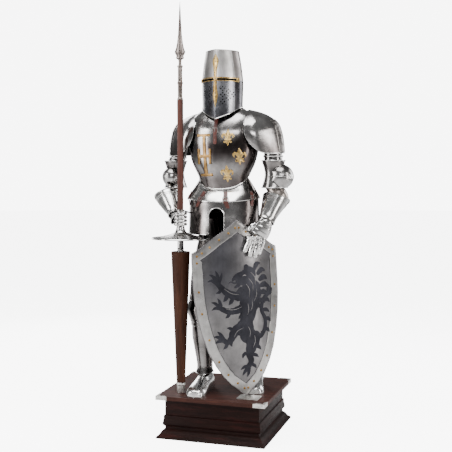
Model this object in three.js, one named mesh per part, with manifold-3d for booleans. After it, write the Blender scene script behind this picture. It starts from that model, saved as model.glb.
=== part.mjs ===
// Suit of plate armour with a shield and a lance on a wooden plinth.
// Millimetres, +Z up, the suit faces -Y. The origin is the centre of the plinth's underside.
import * as THREE from 'three';
import { mergeVertices } from 'three/addons/utils/BufferGeometryUtils.js';
import Module from 'manifold-3d';

const wasm = await Module();
wasm.setup();

// driving sizes
const gap = 0.3;
const plateThickness = 2.4;
const boardSide = 575;
const boardTop = 220;
const boardBottom = 200.5;
const helmTop = 1974;
const suitCentreY = -35;
const helmCentreY = -73;
const shieldRadius = 430;
const shieldTurn = 36;
const shieldRoll = 3.6;
const shieldTip = [154, -137, boardTop + 2.2];
const shieldHeight = 896;
const shieldThickness = 3;
const lanceX = -187;
const lanceY = -182;
const gripRadius = 16;

// finishes
const finishes = {
  steel: new THREE.MeshStandardMaterial({ color: 0x9a9a98, roughness: 0.32, metalness: 1 }),
  dark: new THREE.MeshStandardMaterial({ color: 0x4c4a48, roughness: 0.4, metalness: 1 }),
  brass: new THREE.MeshStandardMaterial({ color: 0xb48a3c, roughness: 0.3, metalness: 1 }),
  leather: new THREE.MeshStandardMaterial({ color: 0x5a2418, roughness: 0.6, metalness: 0 }),
  mahogany: new THREE.MeshStandardMaterial({ color: 0x24120c, roughness: 0.35, metalness: 0 }),
  board: new THREE.MeshStandardMaterial({ color: 0x5c3220, roughness: 0.4, metalness: 0 }),
  shaft: new THREE.MeshStandardMaterial({ color: 0x6e3a22, roughness: 0.45, metalness: 0 }),
  silver: new THREE.MeshStandardMaterial({ color: 0xb8b6b0, roughness: 0.3, metalness: 1 })
};

const suit = new THREE.Group();
suit.name = 'suit_of_armour';
const made = {};

// small number helpers
const vec = (x, y, z) => new THREE.Vector3(x, y, z);
const rad = THREE.MathUtils.degToRad;
const mix = (a, b, t) => a + (b - a) * t;

function lookUp(rows, at, key, value) {
  if ((value - rows[0][at]) * (rows[rows.length - 1][at] - rows[0][at]) <= 0) return rows[0][key];
  for (let i = 1; i < rows.length; i += 1) {
    const a = rows[i - 1];
    const b = rows[i];
    if ((value - a[at]) * (value - b[at]) <= 0) {
      return mix(a[key], b[key], (value - a[at]) / (b[at] - a[at]));
    }
  }
  return rows[rows.length - 1][key];
}

function splinePoints(points, count, closed = false) {
  const curve = new THREE.CatmullRomCurve3(points, closed, 'centripetal');
  const out = [];
  for (let i = 0; i < count; i += 1) out.push(curve.getPoint(i / (closed ? count : count - 1)));
  return out;
}

// solids: joining, cutting and keeping the main body
function toSolid(geometry) {
  const g = geometry.clone();
  g.deleteAttribute('normal');
  g.deleteAttribute('uv');
  const merged = mergeVertices(g, 1e-4);
  const vertProperties = new Float32Array(merged.attributes.position.array);
  const source = merged.index.array;
  const kept = [];
  for (let i = 0; i < source.length; i += 3) {
    const [a, b, c] = [source[i], source[i + 1], source[i + 2]];
    if (a !== b && b !== c && c !== a) kept.push(a, b, c);
  }
  const triVerts = new Uint32Array(kept);
  let solid = new wasm.Manifold(new wasm.Mesh({ numProp: 3, vertProperties, triVerts }));
  if (solid.volume() < 0) {
    for (let i = 0; i < triVerts.length; i += 3) {
      [triVerts[i], triVerts[i + 1]] = [triVerts[i + 1], triVerts[i]];
    }
    solid = new wasm.Manifold(new wasm.Mesh({ numProp: 3, vertProperties, triVerts }));
  }
  return solid;
}

function toGeometry(solid) {
  const mesh = solid.getMesh();
  const geometry = new THREE.BufferGeometry();
  const count = mesh.vertProperties.length / mesh.numProp;
  const position = new Float32Array(count * 3);
  for (let i = 0; i < count; i += 1) {
    for (let k = 0; k < 3; k += 1) position[i * 3 + k] = mesh.vertProperties[i * mesh.numProp + k];
  }
  geometry.setAttribute('position', new THREE.BufferAttribute(position, 3));
  geometry.setIndex(new THREE.BufferAttribute(new Uint32Array(mesh.triVerts), 1));
  return geometry;
}

function largest(solid) {
  const bodies = solid.decompose();
  let best = bodies[0];
  for (const body of bodies) if (body.volume() > best.volume()) best = body;
  return best;
}

const join = (...solids) => solids.reduce((a, b) => a.add(b));

function geometryFrom(points, triangles) {
  const geometry = new THREE.BufferGeometry();
  const numbers = points.flatMap((p) => [p.x, p.y, p.z]);
  geometry.setAttribute('position', new THREE.Float32BufferAttribute(numbers, 3));
  geometry.setIndex(triangles);
  return geometry;
}

// a thin plate from rows of surface points, moved inward by its thickness
function wall(rows, thickness, closed, grow = 0) {
  const nv = rows.length;
  const nu = rows[0].length;
  const middle = vec(0, 0, 0);
  rows.forEach((row) => row.forEach((p) => middle.addScaledVector(p, 1 / (nu * nv))));
  const normals = [];
  let facing = 0;
  for (let j = 0; j < nv; j += 1) {
    normals.push([]);
    for (let i = 0; i < nu; i += 1) {
      const left = closed ? rows[j][(i + nu - 1) % nu] : rows[j][Math.max(i - 1, 0)];
      const right = closed ? rows[j][(i + 1) % nu] : rows[j][Math.min(i + 1, nu - 1)];
      const below = rows[Math.max(j - 1, 0)][i];
      const above = rows[Math.min(j + 1, nv - 1)][i];
      const n = right.clone().sub(left).cross(above.clone().sub(below)).normalize();
      normals[j].push(n);
      facing += n.dot(rows[j][i].clone().sub(middle));
    }
  }
  const sign = facing < 0 ? -1 : 1;
  // a plate that is grown reaches further at its edges too
  const spread = (j, i) => {
    const p = rows[j][i].clone();
    const away = (from) => p.addScaledVector(rows[j][i].clone().sub(from).normalize(), grow);
    if (grow && j === 0) away(rows[1][i]);
    if (grow && j === nv - 1) away(rows[j - 1][i]);
    if (grow && !closed && i === 0) away(rows[j][1]);
    if (grow && !closed && i === nu - 1) away(rows[j][i - 1]);
    return p;
  };
  const points = [];
  for (const depth of [grow, -thickness - grow]) {
    for (let j = 0; j < nv; j += 1) {
      for (let i = 0; i < nu; i += 1) {
        points.push(spread(j, i).addScaledVector(normals[j][i], sign * depth));
      }
    }
  }
  const inner = nu * nv;
  const at = (j, i) => j * nu + (i % nu);
  const triangles = [];
  const quad = (a, b, c, d) => triangles.push(a, b, c, a, c, d);
  const columns = closed ? nu : nu - 1;
  for (let i = 0; i < columns; i += 1) {
    for (let j = 0; j < nv - 1; j += 1) {
      quad(at(j, i), at(j, i + 1), at(j + 1, i + 1), at(j + 1, i));
      quad(inner + at(j, i), inner + at(j + 1, i), inner + at(j + 1, i + 1), inner + at(j, i + 1));
    }
    quad(at(0, i + 1), at(0, i), inner + at(0, i), inner + at(0, i + 1));
    quad(at(nv - 1, i), at(nv - 1, i + 1), inner + at(nv - 1, i + 1), inner + at(nv - 1, i));
  }
  if (!closed) {
    for (let j = 0; j < nv - 1; j += 1) {
      quad(at(j, 0), at(j + 1, 0), inner + at(j + 1, 0), inner + at(j, 0));
      quad(at(j + 1, nu - 1), at(j, nu - 1), inner + at(j, nu - 1), inner + at(j + 1, nu - 1));
    }
  }
  return toSolid(geometryFrom(points, triangles));
}

// a full solid from stacked rings with flat or pointed ends
function stack(rings) {
  const n = rings[0].length;
  const points = rings.flat();
  const centre = (ring) => ring.reduce((s, p) => s.addScaledVector(p, 1 / n), vec(0, 0, 0));
  points.push(centre(rings[0]), centre(rings[rings.length - 1]));
  const base = rings.length * n;
  const triangles = [];
  for (let i = 0; i < n; i += 1) {
    const k = (i + 1) % n;
    for (let j = 0; j < rings.length - 1; j += 1) {
      const [a, b, c, d] = [j * n + i, j * n + k, (j + 1) * n + k, (j + 1) * n + i];
      triangles.push(a, b, c, a, c, d);
    }
    triangles.push(base, k, i);
    const last = (rings.length - 1) * n;
    triangles.push(base + 1, last + i, last + k);
  }
  return toSolid(geometryFrom(points, triangles));
}

// one ring of points about a centre, square to a direction
function ring(centre, direction, side, a, b, n, power = 2, reach = null) {
  const w = direction.clone().normalize();
  const e1 = side.clone().addScaledVector(w, -side.dot(w)).normalize();
  const e2 = w.clone().cross(e1);
  const out = [];
  for (let i = 0; i < n; i += 1) {
    const t = (i / n) * Math.PI * 2;
    const c = Math.sign(Math.cos(t)) * Math.abs(Math.cos(t)) ** (2 / power);
    const s = Math.sign(Math.sin(t)) * Math.abs(Math.sin(t)) ** (2 / power);
    const p = centre.clone().addScaledVector(e1, a * c).addScaledVector(e2, b * s);
    if (reach) p.add(reach(t, e1, e2, w));
    out.push(p);
  }
  return out;
}

// rings along a limb: rows of [x, y, z, half width, half depth]
function limb(table, side, n, power = 2, reach = null) {
  return table.map((row, j) => {
    const before = table[Math.max(j - 1, 0)];
    const after = table[Math.min(j + 1, table.length - 1)];
    const direction = vec(after[0] - before[0], after[1] - before[1], after[2] - before[2]);
    const bend = reach ? (t, e1, e2, w) => reach(j, t, e1, e2, w) : null;
    return ring(vec(row[0], row[1], row[2]), direction, side, row[3], row[4], n, power, bend);
  });
}

// a turned piece: a closed outline of [radius, height] about an upright axis
function turned(outline, n, x, y) {
  const points = outline.map(([r, z]) => new THREE.Vector2(r, z));
  points.push(points[0].clone());
  const g = new THREE.LatheGeometry(points, n);
  g.rotateX(Math.PI / 2);
  g.translate(x, y, 0);
  return toSolid(g);
}

function slab(outline, height, z, holes = []) {
  const shape = new THREE.Shape(outline.map(([x, y]) => new THREE.Vector2(x, y)));
  holes.forEach((h) => shape.holes.push(new THREE.Path(h.map(([x, y]) => new THREE.Vector2(x, y)))));
  const g = new THREE.ExtrudeGeometry(shape, { depth: height, bevelEnabled: false });
  g.translate(0, 0, z);
  return toSolid(g);
}

function block(x0, x1, y0, y1, z0, z1) {
  const g = new THREE.BoxGeometry(x1 - x0, y1 - y0, z1 - z0);
  g.translate((x0 + x1) / 2, (y0 + y1) / 2, (z0 + z1) / 2);
  return toSolid(g);
}

// a finished piece: its solid, and the same a little larger for cutting clear of it
function add(name, finish, solid, fat = null) {
  made[name] = { solid, fat };
  const mesh = new THREE.Mesh(toGeometry(solid), finishes[finish].clone());
  mesh.name = name;
  suit.add(mesh);
}

function clearOf(solid, ...names) {
  let out = solid;
  for (const name of names) out = out.subtract(made[name].fat || made[name].solid);
  return largest(out);
}

function plate(name, finish, rows, options = {}) {
  const { thickness = plateThickness, closed = true, from = [], cut = [] } = options;
  let solid = wall(rows, thickness, closed);
  let fat = wall(rows, thickness, closed, gap);
  cut.forEach((tool) => {
    solid = solid.subtract(tool);
    fat = fat.subtract(tool);
  });
  add(name, finish, clearOf(solid, ...from), fat);
}

// plinth: rows of [inset from the board's side, height]
const plinthRows = [
  [0, 0], [0, 8], [14, 20], [23, 34], [38, 47], [38, 58], [27, 73], [29, 84], [32, 96], [32, 114],
  [38, 119],
  [38, boardBottom - gap]
];
const squareRing = (inset, z) => {
  const h = boardSide / 2 - inset;
  return [vec(-h, -h, z), vec(h, -h, z), vec(h, h, z), vec(-h, h, z)];
};
const plinthWall = 20;
const plinthFloor = 14;
const well = boardSide / 2 - 38 - plinthWall;
add('plinth_body', 'mahogany',
  stack(plinthRows.map(([inset, z]) => squareRing(inset, z)))
    .subtract(block(-well, well, -well, well, plinthFloor, boardTop)));

const cornerReach = 60;
const cornerSheet = 1.4;
function cornerPlate(sx, sy, grow) {
  const h = boardSide / 2;
  const outer = h + grow;
  const inner = h - cornerSheet - grow;
  const end = h - cornerReach - grow;
  const lip = h - 13 - grow;
  const point = (a, b) => [sx * a, sy * b];
  const order = (list) => (sx * sy > 0 ? list : list.slice().reverse());
  const walls = [[outer, outer], [end, outer], [end, inner], [inner, inner], [inner, end], [outer, end]];
  const top = [[outer, outer], [end, outer], [end + 12, lip], [lip, lip], [lip, end + 12], [outer, end]];
  const low = boardBottom + 0.5 - grow;
  const under = boardTop - 0.4 - grow;
  const high = boardTop + 1 + grow;
  const a = slab(order(walls.map(([p, q]) => point(p, q))), high - low, low);
  const b = slab(order(top.map(([p, q]) => point(p, q))), high - under, under);
  return a.add(b);
}
const corners = [[1, -1], [1, 1], [-1, 1], [-1, -1]];
let board = stack([squareRing(0, boardBottom), squareRing(0, boardTop - 2), squareRing(1.6, boardTop)]);
corners.forEach(([sx, sy]) => { board = board.subtract(cornerPlate(sx, sy, gap)); });
add('plinth_board', 'board', largest(board));
corners.forEach(([sx, sy], i) => add(`corner_plate_${i + 1}`, 'silver', cornerPlate(sx, sy, 0)));

const restOutline = [
  [128, -220], [226, -220], [234, -212], [234, -132], [226, -124], [128, -124], [120, -132], [120, -212]
];
add('shield_rest', 'silver', slab(restOutline, 1.4, boardTop + gap));

// lance, from the board upward
const ferruleTop = 275;
const buttTop = 953;
const gripTop = 1168;
const shaftTop = 1725;
const socketTop = 1898;
add('lance_ferrule', 'silver', turned([
  [0, boardTop + gap], [21, boardTop + gap], [21, 262], [23, 266], [23, ferruleTop], [19.3, ferruleTop],
  [19.3, 228], [0, 228]
], 18, lanceX, lanceY));
add('lance_butt', 'shaft', turned([
  [0, 228.4], [19, 228.4], [19, 276], [22.5, 277], [47.5, 936], [48.5, 941], [48.5, 950], [47, buttTop],
  [0, buttTop]
], 18, lanceX, lanceY));
add('lance_grip', 'steel', turned([
  [12.5, buttTop + gap], [18, buttTop + gap], [19, 958], [gripRadius, 962], [gripRadius, 965],
  [18.4, 968], [gripRadius, 971],
  [gripRadius, gripTop - gap], [12.5, gripTop - gap]
], 12, lanceX, lanceY));
const vamplateRows = [
  [17.2, 1084], [19, 1072], [36, 1046], [76, 1032], [140, 1019.5], [146, 1019.5], [146, 1023.5],
  [140, 1023.5], [77, 1035.5], [38, 1049], [21.6, 1073], [20, 1084]
];
add('vamplate', 'steel', turned(vamplateRows, 18, lanceX, lanceY));
add('lance_shaft', 'shaft', turned([
  [0, gripTop], [15, gripTop], [15.3, 1440], [16, shaftTop - gap], [0, shaftTop - gap]
], 12, lanceX, lanceY));
add('lance_socket', 'steel', turned([
  [0, shaftTop], [15, shaftTop], [15, shaftTop + 8], [12, shaftTop + 11], [12.2, 1803], [15, 1806],
  [15, 1814], [12, 1817],
  [11.5, 1888], [15, 1891], [15, socketTop], [0, socketTop]
], 12, lanceX, lanceY));
// spear head: rows of [height, half width] for each of two crossed blades
const headRows = [
  [socketTop + gap, 10], [1926, 8.5], [1934, 22], [1950, 20], [1966, 28], [1985, 21], [2010, 15.5],
  [2050, 10], [2110, 6.5],
  [2170, 4], [2217, 1]
];
const bladeHalf = 4;
function headBlade(turn) {
  const c = Math.cos(rad(turn));
  const s = Math.sin(rad(turn));
  return stack(headRows.map(([z, w]) => {
    const thick = Math.min(w, bladeHalf);
    const corners = [[w, 0], [0, thick], [-w, 0], [0, -thick]];
    return corners.map(([a, b]) => vec(lanceX + a * c - b * s, lanceY + a * s + b * c, z));
  }));
}
add('lance_head', 'steel', join(headBlade(17), headBlade(107)));

// torso: rows of [height, half width, front depth, back depth]
const torsoRows = [
  [1270, 118, 90, 86], [1335, 132, 108, 92], [1408, 166, 126, 104], [1485, 184, 134, 114],
  [1563, 188, 130, 116],
  [1615, 180, 112, 108], [1648, 158, 92, 96], [1672, 128, 70, 82], [1688, 104, 56, 74], [1698, 92, 48, 68]
];
const torsoPower = 2.2;
function torsoPoint(turn, z, out = 0) {
  const w = lookUp(torsoRows, 0, 1, z) + out;
  const f = lookUp(torsoRows, 0, 2, z) + out;
  const b = lookUp(torsoRows, 0, 3, z) + out;
  const s = Math.sin(turn);
  const c = Math.cos(turn);
  const x = Math.sign(s) * Math.abs(s) ** (2 / torsoPower) * w;
  const depth = Math.sign(c) * Math.abs(c) ** (2 / torsoPower);
  const ridge = c > 0 ? 1 - 0.05 * Math.min(Math.abs(s) * 3, 1) : 1;
  return vec(x, suitCentreY - depth * (c > 0 ? f * ridge : b), z);
}
function chestPoint(x, z, out) {
  const w = lookUp(torsoRows, 0, 1, z);
  const s = Math.min((Math.abs(x) / w) ** (torsoPower / 2), 0.999);
  const p = torsoPoint(Math.sign(x) * Math.asin(s), z);
  const q = torsoPoint(Math.sign(x) * Math.asin(s), z + 8);
  const r = torsoPoint((x < 0 ? -1 : 1) * Math.min(Math.asin(s) + 0.05, 1.5), z);
  const n = r.sub(p).cross(q.sub(p)).normalize();
  if (n.y > 0) n.negate();
  return p.addScaledVector(n, out);
}
const backFloor = 1336;
const edgeTurn = 0.004;
const breastFloor = (turn) => 1272 + 66 * (1 - Math.cos(turn)) ** 1.2;
function halfShell(from, to, floor, n, heights) {
  return heights.map((h) => {
    const row = [];
    for (let i = 0; i < n; i += 1) {
      const turn = mix(from, to, i / (n - 1));
      const low = floor(turn);
      row.push(torsoPoint(turn, mix(low, torsoRows[torsoRows.length - 1][0], h)));
    }
    return row;
  });
}
const armholeY = -29;
const armholeZ = 1560;
const armholeHalf = [58, 84];
const armholeStart = 146;
const armhole = stack([-400, 400].map((x) => (
  ring(vec(x, armholeY, armholeZ), vec(1, 0, 0), vec(0, 1, 0), armholeHalf[0], armholeHalf[1], 14)
))).subtract(block(-armholeStart, armholeStart, -300, 300, 1000, 2000));
const shellHeights = [0, 0.2, 0.42, 0.62, 0.8, 0.92, 1];
const sideTurn = Math.PI / 2;
const frontShell = halfShell(-sideTurn + edgeTurn, sideTurn - edgeTurn, breastFloor, 15, shellHeights);
const backEnds = [sideTurn + edgeTurn, 3 * sideTurn - edgeTurn];
const backShell = halfShell(...backEnds, () => backFloor, 11, shellHeights);
plate('breastplate', 'steel', frontShell, { closed: false, cut: [armhole] });
plate('backplate', 'steel', backShell, { closed: false, cut: [armhole], from: ['breastplate'] });

// helm: plan of one quarter as [share of width, share of depth], sizes by height
const helmPlan = [
  [0, 1], [0.19, 0.915], [0.44, 0.76], [0.66, 0.57], [0.85, 0.33], [0.97, 0.08], [1, -0.14],
  [0.93, -0.48], [0.74, -0.76], [0.42, -0.95], [0, -1]
];
const helmRows = [
  [1600, 102, 105, 98], [1690, 104, 107, 100], [1760, 106, 109, 102], [1830, 107, 110, 103],
  [1905, 98, 106, 96],
  [helmTop - 2, 86, 98, 86]
];
function helmPoint(share, z, out = 0) {
  const w = lookUp(helmRows, 0, 1, z) + out;
  const f = lookUp(helmRows, 0, 2, z) + out;
  const b = lookUp(helmRows, 0, 3, z) + out;
  const [px, py] = share;
  return vec(px * w, helmCentreY - (py > 0 ? py * f : py * b), z);
}
const helmRound = [...helmPlan, ...helmPlan.slice(1, -1).reverse().map(([x, y]) => [-x, y])];
const helmFront = (x, z, out) => {
  const w = lookUp(helmRows, 0, 1, z);
  const f = lookUp(helmRows, 0, 2, z);
  const share = Math.min(Math.abs(x) / w, 1);
  const frontPlan = helmPlan.slice(0, 7);
  return vec(x * (1 + out / w), helmCentreY - lookUp(frontPlan, 0, 1, share) * f - out * 1.1, z);
};
const helmLow = (share) => 1688 - 62 * Math.max(0, share[1]) ** 1.3 + 16 * Math.max(0, -share[1]) ** 0.7;
const sightZ = 1824;
const breathSpots = [[34, 1778], [34, 1747], [34, 1713], [59, 1765], [59, 1731], [79, 1750]];
const breathPitch = 9.5;
const breathHalf = 4.4;
function breath(x, z, side) {
  const base = helmFront(x * side, z, 0);
  const across = helmFront(x * side + 1, z, 0).sub(helmFront(x * side - 1, z, 0)).normalize();
  const dir = vec(across.y, -across.x, 0);
  const r = breathHalf;
  return [[0, breathPitch], [breathPitch, 0], [0, -breathPitch], [-breathPitch, 0]].map(([u, v]) => {
    const rings = [-12, 12].map((d) => [[r, 0], [0, r], [-r, 0], [0, -r]].map(([a, b]) => base.clone()
      .addScaledVector(dir, d).addScaledVector(across, u + a).add(vec(0, 0, v + b))));
    return stack(rings);
  }).reduce((a, b) => a.add(b));
}
const breaths = [];
for (const [x, z] of breathSpots) {
  for (const side of [1, -1]) breaths.push(breath(x, z, side));
}
const sightInner = 9;
const sightOuter = 92;
const sightHalf = 4.5;
const sights = [[sightInner, sightOuter], [-sightOuter, -sightInner]].map(([x0, x1]) => (
  block(x0, x1, -260, -76, sightZ - sightHalf, sightZ + sightHalf)
));
const lowerHelm = [0, 1].map((h) => helmRound.map((share) => (
  helmPoint(share, mix(helmLow(share), sightZ - 2, h))
)));
const upperHelm = [sightZ - 1.6, 1905, helmTop - 2].map((z) => (
  helmRound.map((share) => helmPoint(share, z))
));
plate('helm_lower', 'steel', lowerHelm, { cut: [...sights, ...breaths] });
plate('helm_upper', 'steel', upperHelm, { cut: sights });
const capShares = [[1.02, 0], [0.8, 3], [0.45, 6], [0.12, 7.5]];
const capSheet = 2.6;
const capRing = (scale, rise) => helmRound.map((share) => {
  const p = helmPoint(share, helmTop - 2);
  return vec(p.x * scale, helmCentreY + (p.y - helmCentreY) * scale, helmTop - 2 + gap + rise);
});
add('helm_top', 'steel', stack([
  ...capShares.map(([scale, rise]) => capRing(scale, rise + capSheet)).reverse(),
  capRing(capShares[0][0], 0)
]));

// brass cross on the helm: a strip down the keel and one above and below the sights
const keelRows = [
  [1950, 1], [1918, 15], [1880, 10], [1848, 8], [1824, 7.5], [1790, 9], [1752, 12.5], [1715, 8], [1686, 1]
];
const helmStripSheet = 1.8;
const helmStripLift = 0.8;
function helmStrip(rowsXZ) {
  const out = helmStripLift + helmStripSheet;
  return wall(rowsXZ.map((row) => row.map(([x, z]) => helmFront(x, z, out))), helmStripSheet, false);
}
const keelStrip = helmStrip(keelRows.map(([z, w]) => [-1, 0, 1].map((k) => [k * w, z])));
const sightShares = [-0.95, -0.85, -0.66, -0.44, -0.2, 0, 0.2, 0.44, 0.66, 0.85, 0.95];
const sightColumns = sightShares.map((k) => k * 107);
const sightStrips = [[sightZ + 5, sightZ + 13], [sightZ - 13, sightZ - 5]].map(([a, b]) =>
  helmStrip([a, b].map((z) => sightColumns.map((x) => [x, z]))));
add('helm_cross', 'brass', join(keelStrip, ...sightStrips));

// brass and leather on the breastplate
function onChest(rowsXZ, out, thickness) {
  return wall(rowsXZ.map((row) => row.map(([x, z]) => chestPoint(x, z, out))), thickness, false);
}
function bar(x0, z0, x1, z1, width, out = 3.1, thickness = 2) {
  const length = Math.hypot(x1 - x0, z1 - z0);
  const n = Math.max(2, Math.ceil(length / 40) + 1);
  const [nx, nz] = [-(z1 - z0) / length, (x1 - x0) / length];
  const rows = [];
  for (let i = 0; i < n; i += 1) {
    const [x, z] = [mix(x0, x1, i / (n - 1)), mix(z0, z1, i / (n - 1))];
    rows.push([-1, 1].map((k) => [x + nx * k * width / 2, z + nz * k * width / 2]));
  }
  return onChest(rows, out, thickness);
}
const crossBar = 17;
const crossPotent = join(
  bar(-68, 1544, -62, 1347, crossBar), bar(-105, 1440, -29, 1440, crossBar),
  bar(-106, 1546, -34, 1546, 15), bar(-97, 1345, -26, 1345, 15),
  bar(-99, 1478, -102, 1400, 15), bar(-33, 1477, -36, 1401, 15)
);
add('cross_potent', 'brass', clearOf(crossPotent, 'breastplate'));
// lily flower: rows of [across, up, half width] for the middle leaf, a side leaf and the foot
const lilyLeaf = [[0, 42, 1], [0, 24, 9], [0, 6, 8], [0, -10, 5], [0, -26, 5], [0, -42, 1.5]];
const lilySide = [[5, -7, 3], [9, 6, 4.5], [16, 17, 5.5], [24, 15, 5], [26.5, 5, 3.5], [23, -2, 1.5]];
function lily(cx, cz) {
  const strip = (list, mirror) => onChest(list.map(([x, z, w], i) => {
    const before = list[Math.max(i - 1, 0)];
    const after = list[Math.min(i + 1, list.length - 1)];
    const length = Math.hypot(after[0] - before[0], after[1] - before[1]);
    const [nx, nz] = [(after[1] - before[1]) / length, -(after[0] - before[0]) / length];
    return [-1, 1].map((k) => [cx + mirror * (x + nx * k * w), cz + z + nz * k * w]);
  }), 2.9, 2);
  const band = onChest([-1, 1].map((k) => [-17, 17].map((x) => [cx + x, cz - 10 + k * 4])), 3.6, 2.2);
  return join(strip(lilyLeaf, 1), strip(lilySide, 1), strip(lilySide, -1), band);
}
[[59, 1533], [113, 1438], [49, 1350]].forEach(([x, z], i) => {
  add(`fleur_${i + 1}`, 'brass', clearOf(lily(x, z), 'breastplate'));
});
const chestStrapHeights = [1650, 1625, 1600, 1575, 1548, 1520, 1498];
const chestStrapRows = chestStrapHeights.map((z) => [-17, -6, 6].map((x) => [x, z]));
add('chest_strap', 'leather', clearOf(onChest(chestStrapRows, 3.4, 2.8), 'breastplate', 'helm_lower'));

// fauld and skirt: rows of [height, half width, front depth, back depth]
const beltDrop = 17;
const fauldRows = [[1254, 180, 104, 131], [1226, 191, 133, 141]];
const skirtRows = [[1237, 183.6, 117, 132.5], [1224, 184, 123, 133], [1040, 190, 136, 140]];
const beltTurns = [];
for (let i = 0; i < 14; i += 1) beltTurns.push(-Math.PI / 2 + (i / 14) * Math.PI);
for (let i = 0; i < 10; i += 1) beltTurns.push(Math.PI / 2 + (i / 10) * Math.PI);
function beltPoint(row, turn, drop, out = 0) {
  const [z, w, f, b] = row;
  const c = Math.cos(turn);
  const depth = (c > 0 ? f : b) + out;
  return vec(Math.sin(turn) * (w + out), suitCentreY - c * depth, z - drop * Math.max(0, c) ** 1.5);
}
const beltRing = (row, drop) => beltTurns.map((turn) => beltPoint(row, turn, drop));
const tuck = plateThickness + 1;
const cuirassFloor = (turn) => (Math.cos(turn) > -1e-6 ? breastFloor(turn) : backFloor);
const fauldTop = (rise, out) => beltTurns.map((turn) => torsoPoint(turn, cuirassFloor(turn) + rise, out));
plate('fauld', 'steel', [
  fauldTop(10, -tuck), fauldTop(-3, -tuck), beltRing(fauldRows[0], 0), beltRing(fauldRows[1], beltDrop)
]);
const archHalf = 39;
const archTop = 1177;
const archProfile = [[-archHalf, 900], [archHalf, 900]];
for (let i = 0; i <= 8; i += 1) {
  const t = (i / 8) * Math.PI;
  archProfile.push([archHalf * Math.cos(t), archTop - archHalf + archHalf * Math.sin(t)]);
}
const arch = stack([-400, -70].map((y) => archProfile.map(([x, z]) => vec(x, y, z))));
plate('skirt', 'steel', skirtRows.map((row, j) => beltRing(row, j < 2 ? beltDrop : 0)), { cut: [arch] });

// straps over the fauld's edge: [turn from the front, lean]
const strapHalfTurn = 3.8;
const strapSpots = [[-66, 0], [-31, 8], [15, -3], [63, 0]];
strapSpots.forEach(([turn, lean], i) => {
  const high = [fauldRows[0][0] + 6, fauldRows[0][1] - 1, fauldRows[0][2] - 3, 130];
  const stations = [
    [high, 0, 3.6, 1],
    [fauldRows[0], 0, 3.6, 0.7],
    [fauldRows[1], beltDrop, 3.8, 0.1],
    [[1216, 186, 126, 134], beltDrop, 4.2, -0.2],
    [[1192, 185, 124.5, 134], beltDrop, 3.4, -1]
  ];
  const rows = stations.map(([row, drop, out, shift]) => [-1, 0, 1].map((k) => (
    beltPoint(row, rad(turn + k * strapHalfTurn + lean * shift), drop, out)
  )));
  add(`skirt_strap_${i + 1}`, 'leather', clearOf(wall(rows, 2.4, false), 'fauld', 'skirt'));
});

// pauldrons: rows of points from the neck edge down to the lower rim, front to back
const pauldronTable = [
  [[118, -62, 1656], [124, -38, 1674], [130, -8, 1682], [130, 22, 1680], [122, 44, 1670]],
  [[131, -96, 1640], [166, -68, 1658], [184, -8, 1669], [174, 42, 1662], [138, 74, 1648]],
  [[135, -126, 1606], [192, -104, 1620], [238, -10, 1646], [198, 82, 1626], [142, 106, 1610]],
  [[138, -138, 1578], [206, -120, 1576], [282, -12, 1610], [212, 102, 1582], [144, 118, 1578]],
  [[140, -140, 1556], [212, -126, 1536], [302, -12, 1562], [220, 110, 1540], [146, 122, 1556]],
  [[150, -138, 1530], [216, -120, 1492], [312, -12, 1508], [224, 104, 1498], [156, 120, 1534]],
  [[166, -132, 1503], [226, -108, 1458], [317, -12, 1458], [230, 94, 1462], [170, 110, 1506]]
];
const pauldronColumns = 11;
const rightShoulderShift = [6, 9];
function pauldron(side) {
  const [across, down] = side < 0 ? rightShoulderShift : [0, 0];
  return pauldronTable.map((row) => splinePoints(
    row.map(([x, y, z]) => vec(side * x + across, y, z - down)), pauldronColumns
  ));
}
const sides = [['left', 1], ['right', -1]];
sides.forEach(([name, side]) => plate(`pauldron_${name}`, 'steel', pauldron(side), {
  closed: false, from: ['breastplate', 'backplate', 'helm_lower']
}));

// arms: rows of [x, y, z, half width, half depth]
const armSides = 16;
const upperArms = {
  left: [
    [258, -10, 1382, 45.8, 43.8], [258, -10, 1436, 48, 46], [257, -10, 1443, 52, 50],
    [256, -10, 1450, 47, 45],
    [246, -10, 1540, 42, 42], [227, -8, 1617, 36, 36]
  ],
  right: [
    [-281, 2, 1382, 45.6, 43.6], [-275, 0, 1422, 45, 43], [-270, -2, 1430, 46, 44],
    [-267, -3, 1437, 50, 48],
    [-261, -6, 1444, 41.2, 39], [-236, -10, 1530, 38, 38], [-219, -10, 1606, 33.6, 34.6]
  ]
};
const couterHeights = [
  [1420, 60, 57], [1410, 58, 55], [1382, 49, 47], [1351, 44, 43], [1318, 49, 47], [1289, 58, 55],
  [1279, 60, 57]
];
const couterCentres = { left: [258, -10], right: [-281, 2] };
const cops = { left: [30, 62], right: [80, 44] };
const elbowHeight = 1338;
const bump = (distance, width) => Math.exp(-((distance / width) ** 2));
const turnBetween = (a, b) => Math.atan2(Math.sin(a - b), Math.cos(a - b));
function couterRows(name, side) {
  const [cx, cy] = couterCentres[name];
  const [copTurn, copReach] = cops[name];
  return couterHeights.map(([z, a, b]) => {
    const swollen = (t, e1, e2) => {
      const swell = copReach * bump(turnBetween(t, rad(copTurn) * side), 0.6) * bump(z - elbowHeight, 40);
      return e1.clone().multiplyScalar(Math.cos(t) * swell).addScaledVector(e2, Math.sin(t) * swell);
    };
    return ring(vec(cx, cy, z), vec(0, 0, 1), vec(side, 0, 0), a, b, armSides, 2, swollen);
  });
}
sides.forEach(([name, side]) => {
  plate(`couter_${name}`, 'steel', couterRows(name, side));
  plate(`upper_arm_${name}`, 'steel', upperArms[name].map(([x, y, z, a, b]) => (
    ring(vec(x, y, z), vec(0, 0, 1), vec(1, 0, 0), a, b, armSides)
  )));
});

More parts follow.
